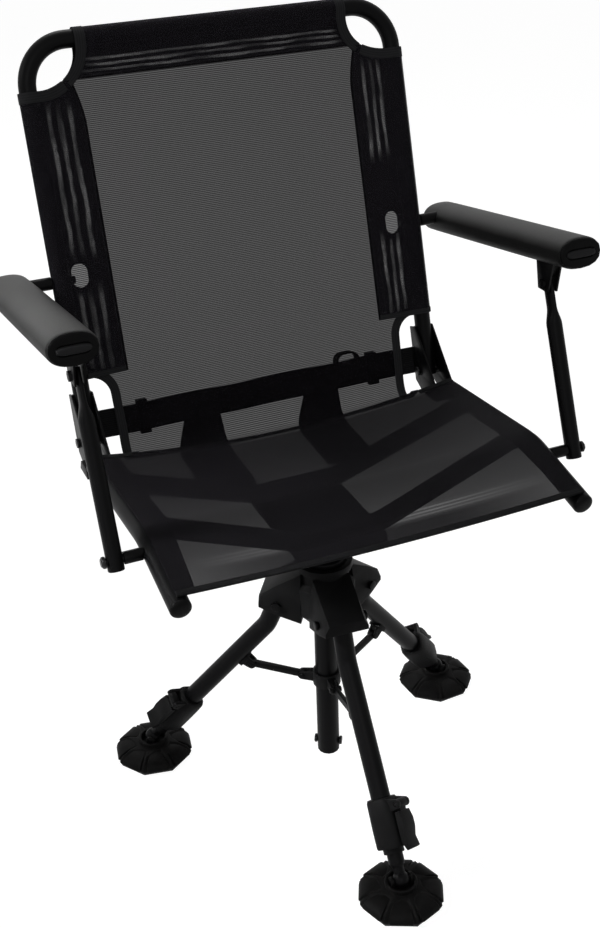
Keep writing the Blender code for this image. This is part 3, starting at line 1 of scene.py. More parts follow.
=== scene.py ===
"""Looks of the blind swivel chair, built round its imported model. Metres, +Z up, the chair faces -Y."""
from collections import namedtuple
from math import acos, copysign, cos, pi, radians, sin, sqrt, tan

import bmesh
import bpy
from mathutils import Matrix, Vector


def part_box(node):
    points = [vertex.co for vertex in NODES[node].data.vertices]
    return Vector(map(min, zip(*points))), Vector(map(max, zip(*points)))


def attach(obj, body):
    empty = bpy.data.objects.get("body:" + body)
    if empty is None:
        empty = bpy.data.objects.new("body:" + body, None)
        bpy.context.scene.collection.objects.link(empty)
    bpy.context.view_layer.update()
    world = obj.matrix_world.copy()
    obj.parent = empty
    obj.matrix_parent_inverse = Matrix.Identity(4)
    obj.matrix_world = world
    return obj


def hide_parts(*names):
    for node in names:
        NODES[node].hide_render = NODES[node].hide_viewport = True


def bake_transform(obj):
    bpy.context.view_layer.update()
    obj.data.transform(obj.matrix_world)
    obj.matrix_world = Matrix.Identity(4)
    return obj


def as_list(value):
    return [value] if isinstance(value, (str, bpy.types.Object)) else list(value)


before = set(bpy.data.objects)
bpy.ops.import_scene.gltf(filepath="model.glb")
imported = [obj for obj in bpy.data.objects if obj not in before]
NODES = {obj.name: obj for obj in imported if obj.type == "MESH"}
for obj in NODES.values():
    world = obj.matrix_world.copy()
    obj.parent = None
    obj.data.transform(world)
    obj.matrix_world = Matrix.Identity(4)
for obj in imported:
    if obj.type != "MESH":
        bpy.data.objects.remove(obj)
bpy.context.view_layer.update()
SIDES = (("left", -1), ("right", 1))
X = Vector((1, 0, 0))
Y = Vector((0, 1, 0))
Z = Vector((0, 0, 1))

# Sizes repeated from the part, in metres
BACK_HALF = 0.243
BACK_TUBE_R = 0.011
BACK_WALL = 0.0016
BACK_LENGTH = 0.490
BACK_BEND_R = 0.054
BACK_TAIL = 0.0065
RECLINE = radians(15.5)
HINGE = Vector((0, 0.181, 0.491))
RAIL_HALF = 0.250
RAIL_R = 0.0125
RAIL_WALL = 0.002
RAIL_REAR_Y = 0.132
RAIL_BEND = Vector((0, -0.082, 0.495))
RAIL_BEND_R = 0.080
RAIL_TILT = radians(4.2)
NOSE_LENGTH = 0.117
NOSE_DROP = radians(12.3)
CRADLE_YS = {"front": -0.050, "rear": 0.080}
CRADLE_R = 0.0125
CRADLE_WALL = 0.002
CRADLE_FLAT_HALF = 0.055
CRADLE_FLAT_Z = 0.417
CRADLE_BEND_R = 0.060
ARM_HALF = 0.305
ARM_PIVOT_UP = 0.205
ARM_PIVOT_RISE = 0.005
UPRIGHT_HALF = 0.294
UPRIGHT_R = 0.0095
UPRIGHT_LENGTH = 0.207
UPRIGHT_LEAN = radians(21.6)
TONGUE_THICK = 0.008
UPRIGHT_TAPER = 0.022
STUB_Y = -0.106
CLIP_RISE = 0.043
CLIP_HALF = 0.020
BAR_FRONT = 0.046
BAR_REAR = 0.020
PAD_WIDTH = 0.057
PAD_HEIGHT = 0.038
PAD_ROUND = 0.012
PAD_EASE = 0.0045  # depth of the rounding at its front
PAD_CROWN = 0.006
CAP_REACH = 0.0038  # pad's front to its cap's face
CAP_SLOT_DEPTH = 0.0018
# A light bar across each cap's slot, a painted highlight along the slot: width and height
CAP_HIGHLIGHT_BAR = (0.0385, 0.0094)
BASE_TURN = radians(-3.5)
LEG_AZIMUTHS = (-90.0, 30.0, 150.0)
LEG_R = 0.0125
LEG_WALL = 0.0019
LEG_PIVOT = Vector((0.058, 0, 0.291))
LEG_NECK = 0.054
LEG_NECK_SLOPE = radians(68.0)
LEG_BEND_R = 0.040
LEG_TOP = 0.009
LEG_TUBE_END = 0.212
ANKLE = Vector((0.254, 0, 0.030))
LOWER_R = 0.0102
LOWER_WALL = 0.0016
LOWER_START = 0.085
LOWER_END_SETBACK = 0.020
ANKLE_BALL_R = 0.0105
ANKLE_NECK_R = 0.0072
ANKLE_PIN_REACH = 0.0146
ANKLE_PIN_R = 0.0035
ANKLE_PIN_EASE = 0.0004
POST_R = 0.015
POST_BOTTOM = 0.042
POST_TOP = 0.2997

# Raised pads between the ridges of a foot
FOOT_SIDES = 8
PETAL_HALF = radians(17.5)
# radius, height and share of the width
PETAL = ((0.0262, 0.0202, 0.80), (0.0315, 0.0203, 1.0), (0.0380, 0.0197, 1.0), (0.0440, 0.0174, 1.0),
         (0.0488, 0.0143, 1.0), (0.0518, 0.0106, 0.98), (0.0527, 0.0070, 0.90))
PETAL_PROFILE = ((-1.0, -0.0050), (-0.985, -0.0012), (-0.94, -0.0003), (-0.84, 0.0), (0.84, 0.0),
                 (0.94, -0.0003), (0.985, -0.0012), (1.0, -0.0050))

# The cloth
CLOTH = 0.0012
SEAT_HALF = 0.252
SEAT_LIFT = 0.0145  # rail axis to the middle of the mesh
SEAT_SETBACK = 0.004
SEAT_SAG_FRONT = 0.006
SEAT_SAG_REAR = 0.022
CREASE_HALF = 0.203
CREASE_LOW = Vector((0, 0.172, 0.440))
NOTCH_R = 0.0266
NOTCH_TOP = 0.0806
PANEL_HALF = 0.231
SEAM_HALF = 0.178  # the side sleeves are sewn down here
SEAM_TOP = 0.442  # and the top sleeve here
SEAM_TUCK = 0.003
SEAM_RUN = (0.392, 0.010)  # from this height the side seams run out by this much
SLEEVE_R = BACK_TUBE_R + 0.0016
SLEEVE_WALL = 0.0012
CORNER_X = 0.232  # the corner openings end on quarter ovals about this point
CORNER_S = 0.480
CORNER_WIDE = 0.054
CORNER_HIGH = 0.047
SLOT_AT = (0.2175, 0.208)
SLOT_HALF = (0.0100, 0.0150)
SLOT_REACH = (0.0022, 0.024)  # rearward from the tube's plane
TAPE_HALF = 0.0013
SLEEVE_TAPE_HALF = 0.0007
SLEEVE_TAPE = 0.0125
EDGE_STEPS = 24  # steps of a sleeve's open end along each face
RIB_PITCH = 0.0023
YARN_PITCH = 0.0013
SEAT_LENGTH = 0.330  # along the sling from its front edge to its crease
BAND_OUTER = 0.2495  # the doubled hems along the rails, and their inner edge at the nose
BAND_INNER = 0.2300
BAND_RUN = 0.0090  # how much wider they get over this length
BAND_RUN_LENGTH = 0.120
ROW_STEP = 0.008  # between the sling's rows over the seat
PANEL_ROWS = 44
BAND_DROP = 0.0016  # the bands lie this far under the mesh
BAND_WALL = 0.0010
FRONT_HEM = (0.0075, 0.0014)  # width and half thickness
REAR_HEM = 0.009
NOTCH_TAPE = 0.0105
SEAM_LAP = 0.004
# Light let through by each face of the mesh, on the back and on the seat from its nose to its rear
BACK_SHARE = 0.238
SEAT_SHARES = (0.238, 0.085)
SEAT_FADE = 3.0
HEM_SHADE = (0.026, 0.008, 0.55)  # painted shade behind the front hem, where the mesh lets less through: depth, fade, share lost
THREADS = (0.036, 0.047, 0.0055, 0.16)  # drawn threads behind that: from, to, pitch, share gained
NOSE_MIDDLE = (0.08, 0.23)  # both fade out between these distances from the middle
# Thin places in the doubled sleeves: a lane's middle, pitch, share let through, edges across,
# and spans (from, to, strength) along
LANES = {
    "left": (0.1960, 0.0125, 0.74, (0.190, 0.228), ((0.245, 0.400, 1.0), (0.100, 0.178, 0.75))),
    "right": (0.2000, 0.0122, 0.80, (0.193, 0.229), ((0.310, 0.405, 1.0), (0.100, 0.180, 1.0))),
    "top": (0.4500, 0.0072, 0.74, (0.447, 0.468), ((-0.160, 0.160, 1.0),)),
}

# The strap
WEB_X = 0.086
WEB_WIDTH = 0.050
WEB_DROP = 0.054
WEB_BEND_R = 0.018
WEB_STEP = 0.006
WEB_SPREAD = 0.40  # how much wider a web is where it leaves the crease
LOOP_X = 0.130
LOOP_HALF = 0.016
LOOP_RISE = 0.014
LOOP_WIDTH = 0.016
LOOP_THICK = 0.0024
STRAP_LOW = -0.004
STRAP_WIDTH = 0.037
STRAP_REAR = 0.0151
STRAP_HALF = 0.2565
STRAP_THICK = 0.0018
STRAP_WAVE = 0.0006

# Darkest and lightest colours of the finishes
COAT_COLOURS = ((0.0028, 0.0028, 0.0031), (0.0120, 0.0120, 0.0125))
RUBBER_COLOURS = ((0.0028, 0.0027, 0.0028), (0.0090, 0.0087, 0.0085))
# The foam's colours are painted light: the dark one for its sides, the light one for its top.
FOAM_PAINTED_LIGHT_COLOURS = ((0.009, 0.009, 0.009), (0.082, 0.082, 0.081))
MESH_COLOURS = ((0.0030, 0.0028, 0.0034), (0.0105, 0.0097, 0.0118))
TAPE_COLOURS = ((0.0220, 0.0220, 0.0235), (0.0480, 0.0480, 0.0505))
WEBBING_COLOURS = ((0.0070, 0.0070, 0.0078), (0.0210, 0.0210, 0.0222))
STEEL_COLOURS = ((0.010, 0.010, 0.011), (0.042, 0.041, 0.040))

# The picture. Each lamp has its place, target, size, watts and spread in degrees
LAMPS = {
    "left": ((-2.3, 0.6, 2.0), (0, 0, 0.5), 1.2, 10.0, 180.0),
    "arm": ((-1.9, 0.3, 1.6), (-0.58, 0, 0.66), 0.4, 0.9, 18.0),
    "rear": ((0.3, 2.0, 2.9), (0, 0, 0.5), 1.2, 22.0, 180.0),
    "front": ((-1.0, -2.6, 2.2), (0, 0, 0.4), 1.6, 14.0, 180.0),
}
WORLD_LIGHT = 0.11
FLOOR_GREY = 0.36
FLOOR_GLOW = 0.955
FLOOR_SHADOW = 0.24  # how strongly the floor shows light and shadow over its glow
CAMERA_LENS = 52.896
CAMERA_PLACE = (-0.57652, -1.36516, 1.29126)
CAMERA_RIGHT = Vector((0.92009941, -0.39042893, -0.03134219))
CAMERA_UP = Vector((0.21230725, 0.42988327, 0.87756823))
CAMERA_FORWARD = Vector((0.32915454, 0.81410418, -0.47842624))


def rail_height(y):
    """Height of a rail's axis behind its bend."""
    return RAIL_BEND.z - (y - RAIL_BEND.y) * tan(RAIL_TILT)


# Places worked out from the sizes
post_low, post_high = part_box("center_post")
CHAIR = Matrix.Translation((0, (post_low.y + post_high.y) / 2, 0))
BACK_UP = Vector((0, sin(RECLINE), cos(RECLINE)))
BACK_REAR = Vector((0, cos(RECLINE), -sin(RECLINE)))
BACK = CHAIR @ Matrix.Translation(HINGE) @ Matrix.Rotation(-RECLINE, 4, "X")
BASE = CHAIR @ Matrix.Rotation(BASE_TURN, 4, "Z")
RAIL_REAR = Vector((0, RAIL_REAR_Y, rail_height(RAIL_REAR_Y)))
NOSE_DIR = Vector((0, -cos(NOSE_DROP), -sin(NOSE_DROP)))
RAIL_END = RAIL_BEND + NOSE_DIR * NOSE_LENGTH
STUB = RAIL_BEND + NOSE_DIR * ((RAIL_BEND.y - STUB_Y) / cos(NOSE_DROP))
UPRIGHT_UP = Vector((0, sin(UPRIGHT_LEAN), cos(UPRIGHT_LEAN)))
ARM_PIVOT = HINGE + BACK_UP * ARM_PIVOT_UP
BAR_OVER_CLIP = STUB + UPRIGHT_UP * UPRIGHT_LENGTH + Z * CLIP_RISE
BAR_AT_PIVOT = ARM_PIVOT - Z * ARM_PIVOT_RISE
BAR_DIR = (BAR_AT_PIVOT - BAR_OVER_CLIP).normalized()
PAD_FRONT = BAR_OVER_CLIP - BAR_DIR * BAR_FRONT
PAD_REAR = BAR_AT_PIVOT + BAR_DIR * (BAR_REAR + PAD_ROUND / 2)
NECK_DIR = Vector((cos(LEG_NECK_SLOPE), 0, -sin(LEG_NECK_SLOPE)))
LEG_BEND = LEG_PIVOT + NECK_DIR * LEG_NECK
LEG_DIR = (ANKLE - LEG_BEND).normalized()

# Steps of the shapes
TUBE_SIDES = 32
FINE_STEPS = 10
RAIL_STEPS = 14
BACK_STEPS = 18
SLING_COLUMNS = 44
CREASE_STEPS = 16
NOTCH_STEPS = 12
HEM_STEPS = 40
BAND_COLUMNS = 6
SLOT_STEPS = 24
SLEEVE_STATIONS = 44
TOP_STATIONS = 48
STRAP_STEPS = 60
LOOP_STEPS = 24


class Nodes:
    """A node tree, with short ways to add nodes to it."""

    def __init__(self, tree):
        self.tree = tree

    def put(self, socket, value):
        if isinstance(value, bpy.types.NodeSocket):
            self.tree.links.new(value, socket)
        else:
            socket.default_value = value

    def add(self, kind, inputs=None, **settings):
        node = self.tree.nodes.new("ShaderNode" + kind)
        for key, value in settings.items():
            setattr(node, key, value)
        for key, value in (inputs or {}).items():
            self.put(node.inputs[key], value)
        return node

    def maths(self, operation, *values):
        return self.add("Math", dict(enumerate(values)), operation=operation).outputs[0]

    def times(self, first, second):
        return self.maths("MULTIPLY", first, second)

    def times_plus(self, value, factor, more):
        return self.maths("MULTIPLY_ADD", value, factor, more)

    def spread(self, value, low, high, start=0.0, end=1.0):
        node = self.add("MapRange", {"Value": value, "From Min": start, "From Max": end,
                                     "To Min": low, "To Max": high})
        return node.outputs["Result"]

    def shown(self):
        """One for rays that show a thing straight, mirrored or through a pane, else zero."""
        rays = self.add("LightPath").outputs
        bent = self.maths("MAXIMUM", rays["Is Glossy Ray"], rays["Is Transmission Ray"])
        return self.maths("MAXIMUM", rays["Is Camera Ray"], bent)


class Finish(Nodes):
    """A material, with the patterns that finishes are made of."""

    def __init__(self, name, slot=None):
        self.material = bpy.data.materials.new(name)
        self.material.use_nodes = True
        super().__init__(self.material.node_tree)
        self.shader = self.tree.nodes["Principled BSDF"]
        self.place = None

    def between(self, factor, low, high):
        return self.add("Mix", {0: factor, 6: (*low, 1.0), 7: (*high, 1.0)}, data_type="RGBA").outputs[2]

    def object_place(self):
        if self.place is None:
            self.place = self.add("TexCoord").outputs["Object"]
        return self.place

    def weave(self):
        """Places across and along the cloth, which its patterns follow from here on."""
        self.place = self.add("Attribute", attribute_name="weave").outputs["Vector"]
        split = self.add("SeparateXYZ", {"Vector": self.place})
        return split.outputs["X"], split.outputs["Y"]

    def noise(self, scale, detail=2.0, place=None, roughness=0.5):
        node = self.add("TexNoise", {"Vector": place or self.object_place(), "Scale": scale,
                                     "Detail": detail, "Roughness": roughness})
        return node.outputs["Fac"]

    def wave(self, value, pitch, shift=0.0):
        """Zero to one and back once in each pitch."""
        turns = self.times_plus(value, 2 * pi / pitch, shift)
        return self.times_plus(self.maths("SINE", turns), 0.5, 0.5)

    def mixed(self, first, second, share):
        """A share of the first value, and the rest of the second."""
        return self.times_plus(first, share, self.times(second, 1 - share))

    def window(self, value, low, high, soft):
        """One between low and high, falling to zero over the soft width outside them."""
        rise = self.spread(value, 0.0, 1.0, low - soft, low)
        return self.times(rise, self.spread(value, 1.0, 0.0, high, high + soft))

    def bump(self, height, distance, strength=1.0, under=None):
        inputs = {"Height": height, "Distance": distance, "Strength": strength}
        if under is not None:
            inputs["Normal"] = under
        return self.add("Bump", inputs).outputs["Normal"]

    def done(self, colour, rough, specular=0.5, normal=None, **more):
        values = {"Base Color": colour, "Roughness": rough, "Specular IOR Level": specular, **more}
        if normal is not None:
            values["Normal"] = normal
        for name, value in values.items():
            self.put(self.shader.inputs[name], value)
        return self.material


def grey(value):
    return (value, value, value, 1.0)


def toned(colours, tone):
    return [tuple(tone * part for part in colour) for colour in colours]


def powder_coat():
    """Satin black powder coat: orange peel, with faint scuffs."""
    f = Finish("black powder coat", "black_powder_coat")
    peel = f.noise(620.0, 2.0)
    cloud = f.noise(26.0, 4.0)
    scuff = f.spread(f.noise(95.0, 6.0, roughness=0.7), 0.0, 1.0, 0.62, 0.78)
    rough = f.times_plus(scuff, 0.10, f.spread(cloud, 0.34, 0.46))
    return f.done(f.between(f.times(scuff, 0.35), *COAT_COLOURS), rough, 0.055, f.bump(peel, 0.00025, 0.35))


def moulded_plastic(name="moulded plastic", low=0.0040, high=0.0090, rough=(0.44, 0.58)):
    """Black moulding with a spark-eroded grain."""
    f = Finish(name, "moulded_plastic")
    grain = f.noise(1500.0, 3.0, roughness=0.6)
    cloud = f.noise(34.0, 4.0)
    colour = f.between(cloud, (low, low, low * 1.06), (high, high, high * 1.03))
    return f.done(colour, f.spread(cloud, *rough), 0.045, f.bump(grain, 0.0003, 0.55))


def foot_rubber():
    """Dusty black rubber."""
    f = Finish("foot rubber", "foot_rubber")
    cloud = f.noise(60.0, 5.0, roughness=0.65)
    grain = f.noise(900.0, 3.0)
    colour = f.between(f.spread(cloud, 0.0, 1.0, 0.35, 0.75), *RUBBER_COLOURS)
    return f.done(colour, f.spread(cloud, 0.46, 0.62), 0.045, f.bump(grain, 0.0003, 0.5))


def arm_foam():
    """Closed-cell foam skin: fine pores, and painted light that makes its top lighter and its sides darker.
    """
    f = Finish("arm foam", "arm_foam")
    cells = f.add("TexVoronoi", {"Vector": f.object_place(), "Scale": 850.0})
    pores = f.spread(cells.outputs["Distance"], 0.0, 1.0, 0.05, 0.55)
    cloud = f.noise(22.0, 4.0, roughness=0.6)
    # Painted light: colour runs from dark on the sides to light on the top, by how far each face points up.
    up = f.add("SeparateXYZ", {"Vector": f.add("TexCoord").outputs["Normal"]}).outputs["Z"]
    painted_top_light = f.spread(f.times_plus(cloud, 0.3, up), 0.0, 1.0, 0.40, 1.15)
    surface = f.bump(cloud, 0.0008, 0.3, f.bump(pores, 0.00018, 0.5))
    return f.done(f.between(painted_top_light, *FOAM_PAINTED_LIGHT_COLOURS), f.spread(cloud, 0.48, 0.60), 0.07, surface)


def seat_share(f, across, along, nose, rear):
    """Share let through over the seat: less to the rear, with painted shade and drawn threads behind the
    front hem.
    """
    fade = f.maths("POWER", f.spread(along, 1.0, 0.0, 0.02, SEAT_LENGTH), SEAT_FADE)
    share = f.times_plus(fade, nose - rear, rear)
    middle = f.spread(f.maths("ABSOLUTE", across), 1.0, 0.0, *NOSE_MIDDLE)
    # Painted shade: the mesh behind the front hem lets less through, so it shows darker there.
    depth, soft, lost = HEM_SHADE
    shade = f.times(f.window(along, -0.1, depth, soft), middle)
    share = f.times(share, f.times_plus(shade, -lost, 1.0))
    start, end, pitch, gained = THREADS
    threads = f.times(f.wave(along, pitch), f.window(along, start, end, 0.004))
    return f.times_plus(f.times(threads, middle), gained, share)


def lane_share(f, across, along, middle, pitch, share, edges, spans):
    """Share let through in soft lanes, between edges across the weave and within spans along it."""
    bend = f.add("Mapping", {"Vector": f.place, "Scale": (60.0, 22.0, 1.0)})
    drift = f.noise(1.0, 2.0, bend.outputs["Vector"])
    start = pi / 2 - 2 * pi * middle / pitch
    turn = f.spread(drift, start - 1.8, start + 1.8)
    lit = f.spread(f.wave(across, pitch, turn), 0.0, share, 0.35, 0.80)
    lit = f.times(lit, f.window(across, *edges, pitch * 0.3))
    bright = 0.0
    for low, high, strength in spans:
        bright = f.times_plus(f.window(along, low, high, 0.022), strength, bright)
    return f.times(f.times(lit, bright), f.spread(drift, 0.45, 1.0, 0.36, 0.58))


def mesh_cloth(name="mesh cloth", see=BACK_SHARE, seat_see=None, lanes=None, tone=1.0):
    """Black sling mesh in cross ribs. Each of a sheet's two faces lets through the share see.

    seat_see is the share over the seat, from its nose to its rear. lanes opens lanes in the weave.
    """
    f = Finish(name, "mesh_cloth")
    across, along = f.weave()
    wander = f.noise(14.0, 3.0)
    ribs = f.wave(along, RIB_PITCH, f.spread(wander, -0.6, 0.6))
    height = f.mixed(ribs, f.wave(across, YARN_PITCH), 0.7)
    share = see
    if seat_see:
        past_seat = f.window(along, SEAT_LENGTH, 2.0, 0.02)
        on_seat = seat_share(f, across, along, *seat_see)
        share = f.add("Mix", {0: past_seat, 2: on_seat, 3: see}).outputs[0]
    open_share = f.times(share, f.times_plus(f.maths("SUBTRACT", 0.5, height), 1.25, 1.0))
    if lanes:
        open_share = f.times_plus(open_share, 0.35, lane_share(f, across, along, *lanes))
    return f.done(f.between(height, *toned(MESH_COLOURS, tone)), f.spread(wander, 0.62, 0.78), 0.05,
                  f.bump(height, 0.0004, 0.8), Alpha=f.maths("SUBTRACT", 1.0, open_share))


def binding_tape(name="binding tape", tone=1.0):
    """Woven edge tape: fine ribs across its length."""
    f = Finish(name, "mesh_cloth")
    across, along = f.weave()
    height = f.mixed(f.wave(along, 0.0011), f.wave(across, 0.0030), 0.6)
    cloud = f.noise(40.0, 3.0)
    return f.done(f.between(height, *toned(TAPE_COLOURS, tone)), f.spread(cloud, 0.68, 0.82), 0.05,
                  f.bump(height, 0.0003, 0.7))


def webbing_weave():
    """Strap webbing: lengthwise cords crossed by a slanted weft."""
    f = Finish("webbing", "webbing")
    across, along = f.weave()
    weft = f.wave(f.times_plus(across, 0.6, along), 0.0016)
    height = f.mixed(f.wave(across, 0.0028), weft, 0.6)
    cloud = f.noise(50.0, 3.0)
    return f.done(f.between(height, *WEBBING_COLOURS), f.spread(cloud, 0.66, 0.80), 0.05,
                  f.bump(height, 0.0004, 0.8))


def dark_hardware():
    """Blackened steel of bolts and rivets, a little rubbed."""
    f = Finish("dark hardware", "dark_hardware")
    rub = f.spread(f.noise(260.0, 5.0, roughness=0.7), 0.0, 1.0, 0.5, 0.8)
    grain = f.bump(f.noise(700.0), 0.0002, 0.3)
    return f.done(f.between(rub, *STEEL_COLOURS), f.spread(rub, 0.42, 0.30), normal=grain, Metallic=0.75)


POWDER = powder_coat()
PLASTIC = moulded_plastic()
CAP_PLASTIC = moulded_plastic("cap plastic", 0.0022, 0.0042, (0.38, 0.50))
# Painted highlight: the light plastic of the bar in each cap's slot stands in for light caught along the
# slot.
CAP_BAR_HIGHLIGHT = moulded_plastic("cap bar painted highlight", 0.0240, 0.0360, (0.42, 0.54))
RUBBER = foot_rubber()
FOAM = arm_foam()
MESH = mesh_cloth(seat_see=SEAT_SHARES)
# Painted light: the sleeves' front layer is the mesh cloth made three times lighter and a little more open,
# for the light on the sleeves.
LIT_SLEEVE_FRONT = mesh_cloth("sleeve front mesh painted light", 0.30, tone=3.0)
SLEEVE_REAR = {name: mesh_cloth(name + " sleeve mesh", 0.02, lanes=lanes) for name, lanes in LANES.items()}
BAND_MESH = mesh_cloth("band mesh", 0.06)
TAPE = binding_tape()
HEM_TAPE = binding_tape("hem tape", 0.30)
WEBBING = webbing_weave()
HARDWARE = dark_hardware()


def smooth(mesh, crease=35):
    mesh.shade_smooth()
    mesh.set_sharp_from_angle(angle=radians(crease))


def bake(obj, crease=35):
    """Apply an object's modifiers."""
    graph = bpy.context.evaluated_depsgraph_get()
    mesh = bpy.data.meshes.new_from_object(obj.evaluated_get(graph))
    old = obj.data
    obj.modifiers.clear()
    obj.data = mesh
    bpy.data.meshes.remove(old)
    mesh.name = obj.name
    smooth(mesh, crease)


def add_object(name, bm, materials, matrix=CHAIR):
    """An object from bm, whose points are in the frame of matrix."""
    bm.transform(matrix)
    bmesh.ops.recalc_face_normals(bm, faces=bm.faces)
    mesh = bpy.data.meshes.new(name)
    bm.to_mesh(mesh)
    bm.free()
    smooth(mesh)
    for material in materials:
        mesh.materials.append(material)
    obj = bpy.data.objects.new(name, mesh)
    bpy.context.scene.collection.objects.link(obj)
    return obj


def settle(obj, body, *nodes, slot=None):
    """Set a finished piece on its body, and hide the nodes it replaces; slot is not used."""
    if body:
        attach(obj, body)
    if nodes:
        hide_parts(*nodes)
    return obj


def add_piece(name, bm, material, body, *nodes, matrix=CHAIR):
    return settle(add_object(name, bm, [material], matrix), body, *nodes)


def shares(count):
    """Zero to one in even steps."""
    return [i / count for i in range(count + 1)]


def turns(count):
    """Angles of a full turn in even steps."""
    return [2 * pi * i / count for i in range(count)]


def circle(radius):
    return [(radius * cos(a), radius * sin(a)) for a in turns(TUBE_SIDES)]


def superellipse(width, height, power, sides=48):
    points = []
    for a in turns(sides):
        c = cos(a)
        s = sin(a)
        points.append((copysign(abs(c) ** (2 / power), c) * width / 2,
                       copysign(abs(s) ** (2 / power), s) * height / 2))
    return points


def round_corners(points, radius, steps=FINE_STEPS):
    """A path with each inner corner replaced by an arc."""
    path = [points[0]]
    for before, corner, after in zip(points, points[1:], points[2:]):
        back = (before - corner).normalized()
        ahead = (after - corner).normalized()
        half = back.angle(ahead) / 2
        middle = corner + (back + ahead).normalized() * (radius / sin(half))
        start = corner + back * (radius / tan(half)) - middle
        end = corner + ahead * (radius / tan(half)) - middle
        turn = start.angle(end)
        for t in shares(steps):
            mix = start * sin((1 - t) * turn) + end * sin(t * turn)
            path.append(middle + mix / sin(turn))
    path.append(points[-1])
    return path


def resample(path, step):
    """Even points along a path."""
    runs = [(b - a).length for a, b in zip(path, path[1:])]
    count = max(2, round(sum(runs) / step))
    points = []
    for i in range(count + 1):
        left = sum(runs) * i / count
        index = 0
        while index < len(runs) - 1 and left > runs[index]:
            left -= runs[index]
            index += 1
        points.append(path[index].lerp(path[index + 1], min(1.0, left / runs[index])))
    return points


def tangents(path):
    return [(path[min(i + 1, len(path) - 1)] - path[max(i - 1, 0)]).normalized() for i in range(len(path))]


def sweep(path, normal, profile):
    """Rings of a profile along a path."""
    rings = []
    for point, tangent in zip(path, tangents(path)):
        side = tangent.cross(normal).normalized()
        rings.append([point + side * u + normal * v for u, v in profile])
    return rings


def bridge(bm, first, second):
    """Faces between two rings of vertices. A ring may be one vertex, repeated."""
    count = len(first)
    for i in range(count):
        corners = (first[i], first[(i + 1) % count], second[(i + 1) % count], second[i])
        bm.faces.new(list(dict.fromkeys(corners)))


def skin(bm, rings):
    """Faces through rings of vertices."""
    for first, second in zip(rings, rings[1:]):
        bridge(bm, first, second)
    return bm


def solid(bm, rings):
    """Faces of a closed solid through rings of vertices."""
    skin(bm, rings)
    bm.faces.new(rings[0])
    bm.faces.new(rings[-1])
    return bm


def hollow(bm, outer, inner):
    """Faces of a tube through the rings of its outside and its bore."""
    skin(bm, outer)
    skin(bm, inner)
    bridge(bm, outer[0], inner[0])
    bridge(bm, outer[-1], inner[-1])
    return bm


def new_rings(bm, rings):
    return [[bm.verts.new(point) for point in ring] for ring in rings]


def loft(rings):
    """A closed solid through rings of points."""
    bm = bmesh.new()
    return solid(bm, new_rings(bm, rings))


def tube(path, normal, radius, wall):
    bm = bmesh.new()
    skins = [new_rings(bm, sweep(path, normal, circle(size))) for size in (radius, radius - wall)]
    return hollow(bm, *skins)


def turned(outline, origin, axis, sides=48):
    """A turned solid from (radius, along) pairs, closed on the axis or as a ring."""
    axis = axis.normalized()
    first = axis.orthogonal().normalized()
    second = axis.cross(first)
    spokes = [first * cos(a) + second * sin(a) for a in turns(sides)]
    bm = bmesh.new()
    rings = []
    for radius, along in outline:
        centre = origin + axis * along
        if radius == 0:
            rings.append([bm.verts.new(centre)] * sides)
        else:
            rings.append([bm.verts.new(centre + spoke * radius) for spoke in spokes])
    if outline[0][0] > 0:
        rings.append(rings[0])
    return skin(bm, rings)


def merged(*shapes):
    """Several shapes as one mesh."""
    result = bmesh.new()
    for shape in shapes:
        mesh = bpy.data.meshes.new("merge")
        shape.to_mesh(mesh)
        shape.free()
        result.from_mesh(mesh)
        bpy.data.meshes.remove(mesh)
    return result


def bevelled(node, body, material, width=0.0005, segments=2, angle=32, slot=None):
    """The node's own shape with its edges eased."""
    bm = bmesh.new()
    bm.from_mesh(NODES[node].data)
    bmesh.ops.remove_doubles(bm, verts=bm.verts, dist=0.000004)
    bmesh.ops.dissolve_limit(bm, angle_limit=radians(1.0), verts=bm.verts, edges=bm.edges)
    obj = add_object(node + "_shell", bm, [material], Matrix.Identity(4))
    modifier = obj.modifiers.new("edges", "BEVEL")
    modifier.width = width
    modifier.segments = segments
    modifier.limit_method = "ANGLE"
    modifier.angle_limit = radians(angle)
    bake(obj, 40)
    return settle(obj, body, node, slot=slot)


def rail_curve():
    """Rail axis from front to rear, in the chair's mid-plane."""
    return round_corners([RAIL_END, RAIL_BEND, RAIL_REAR], RAIL_BEND_R, RAIL_STEPS)


class Row(namedtuple("Row", "centre up half sag along")):
    """One line of the sling from side to side."""

    def at(self, x, lift=0.0):
        share = x / self.half
        return self.centre + X * x + self.up * lift - Z * (self.sag * (1 - share * share))


def seam_run(s):
    """How far a side seam has run outward at height s."""
    share = min(1.0, max(0.0, (s - SEAM_RUN[0]) / (SEAM_TOP - SEAM_RUN[0])))
    return SEAM_RUN[1] * share ** 1.5


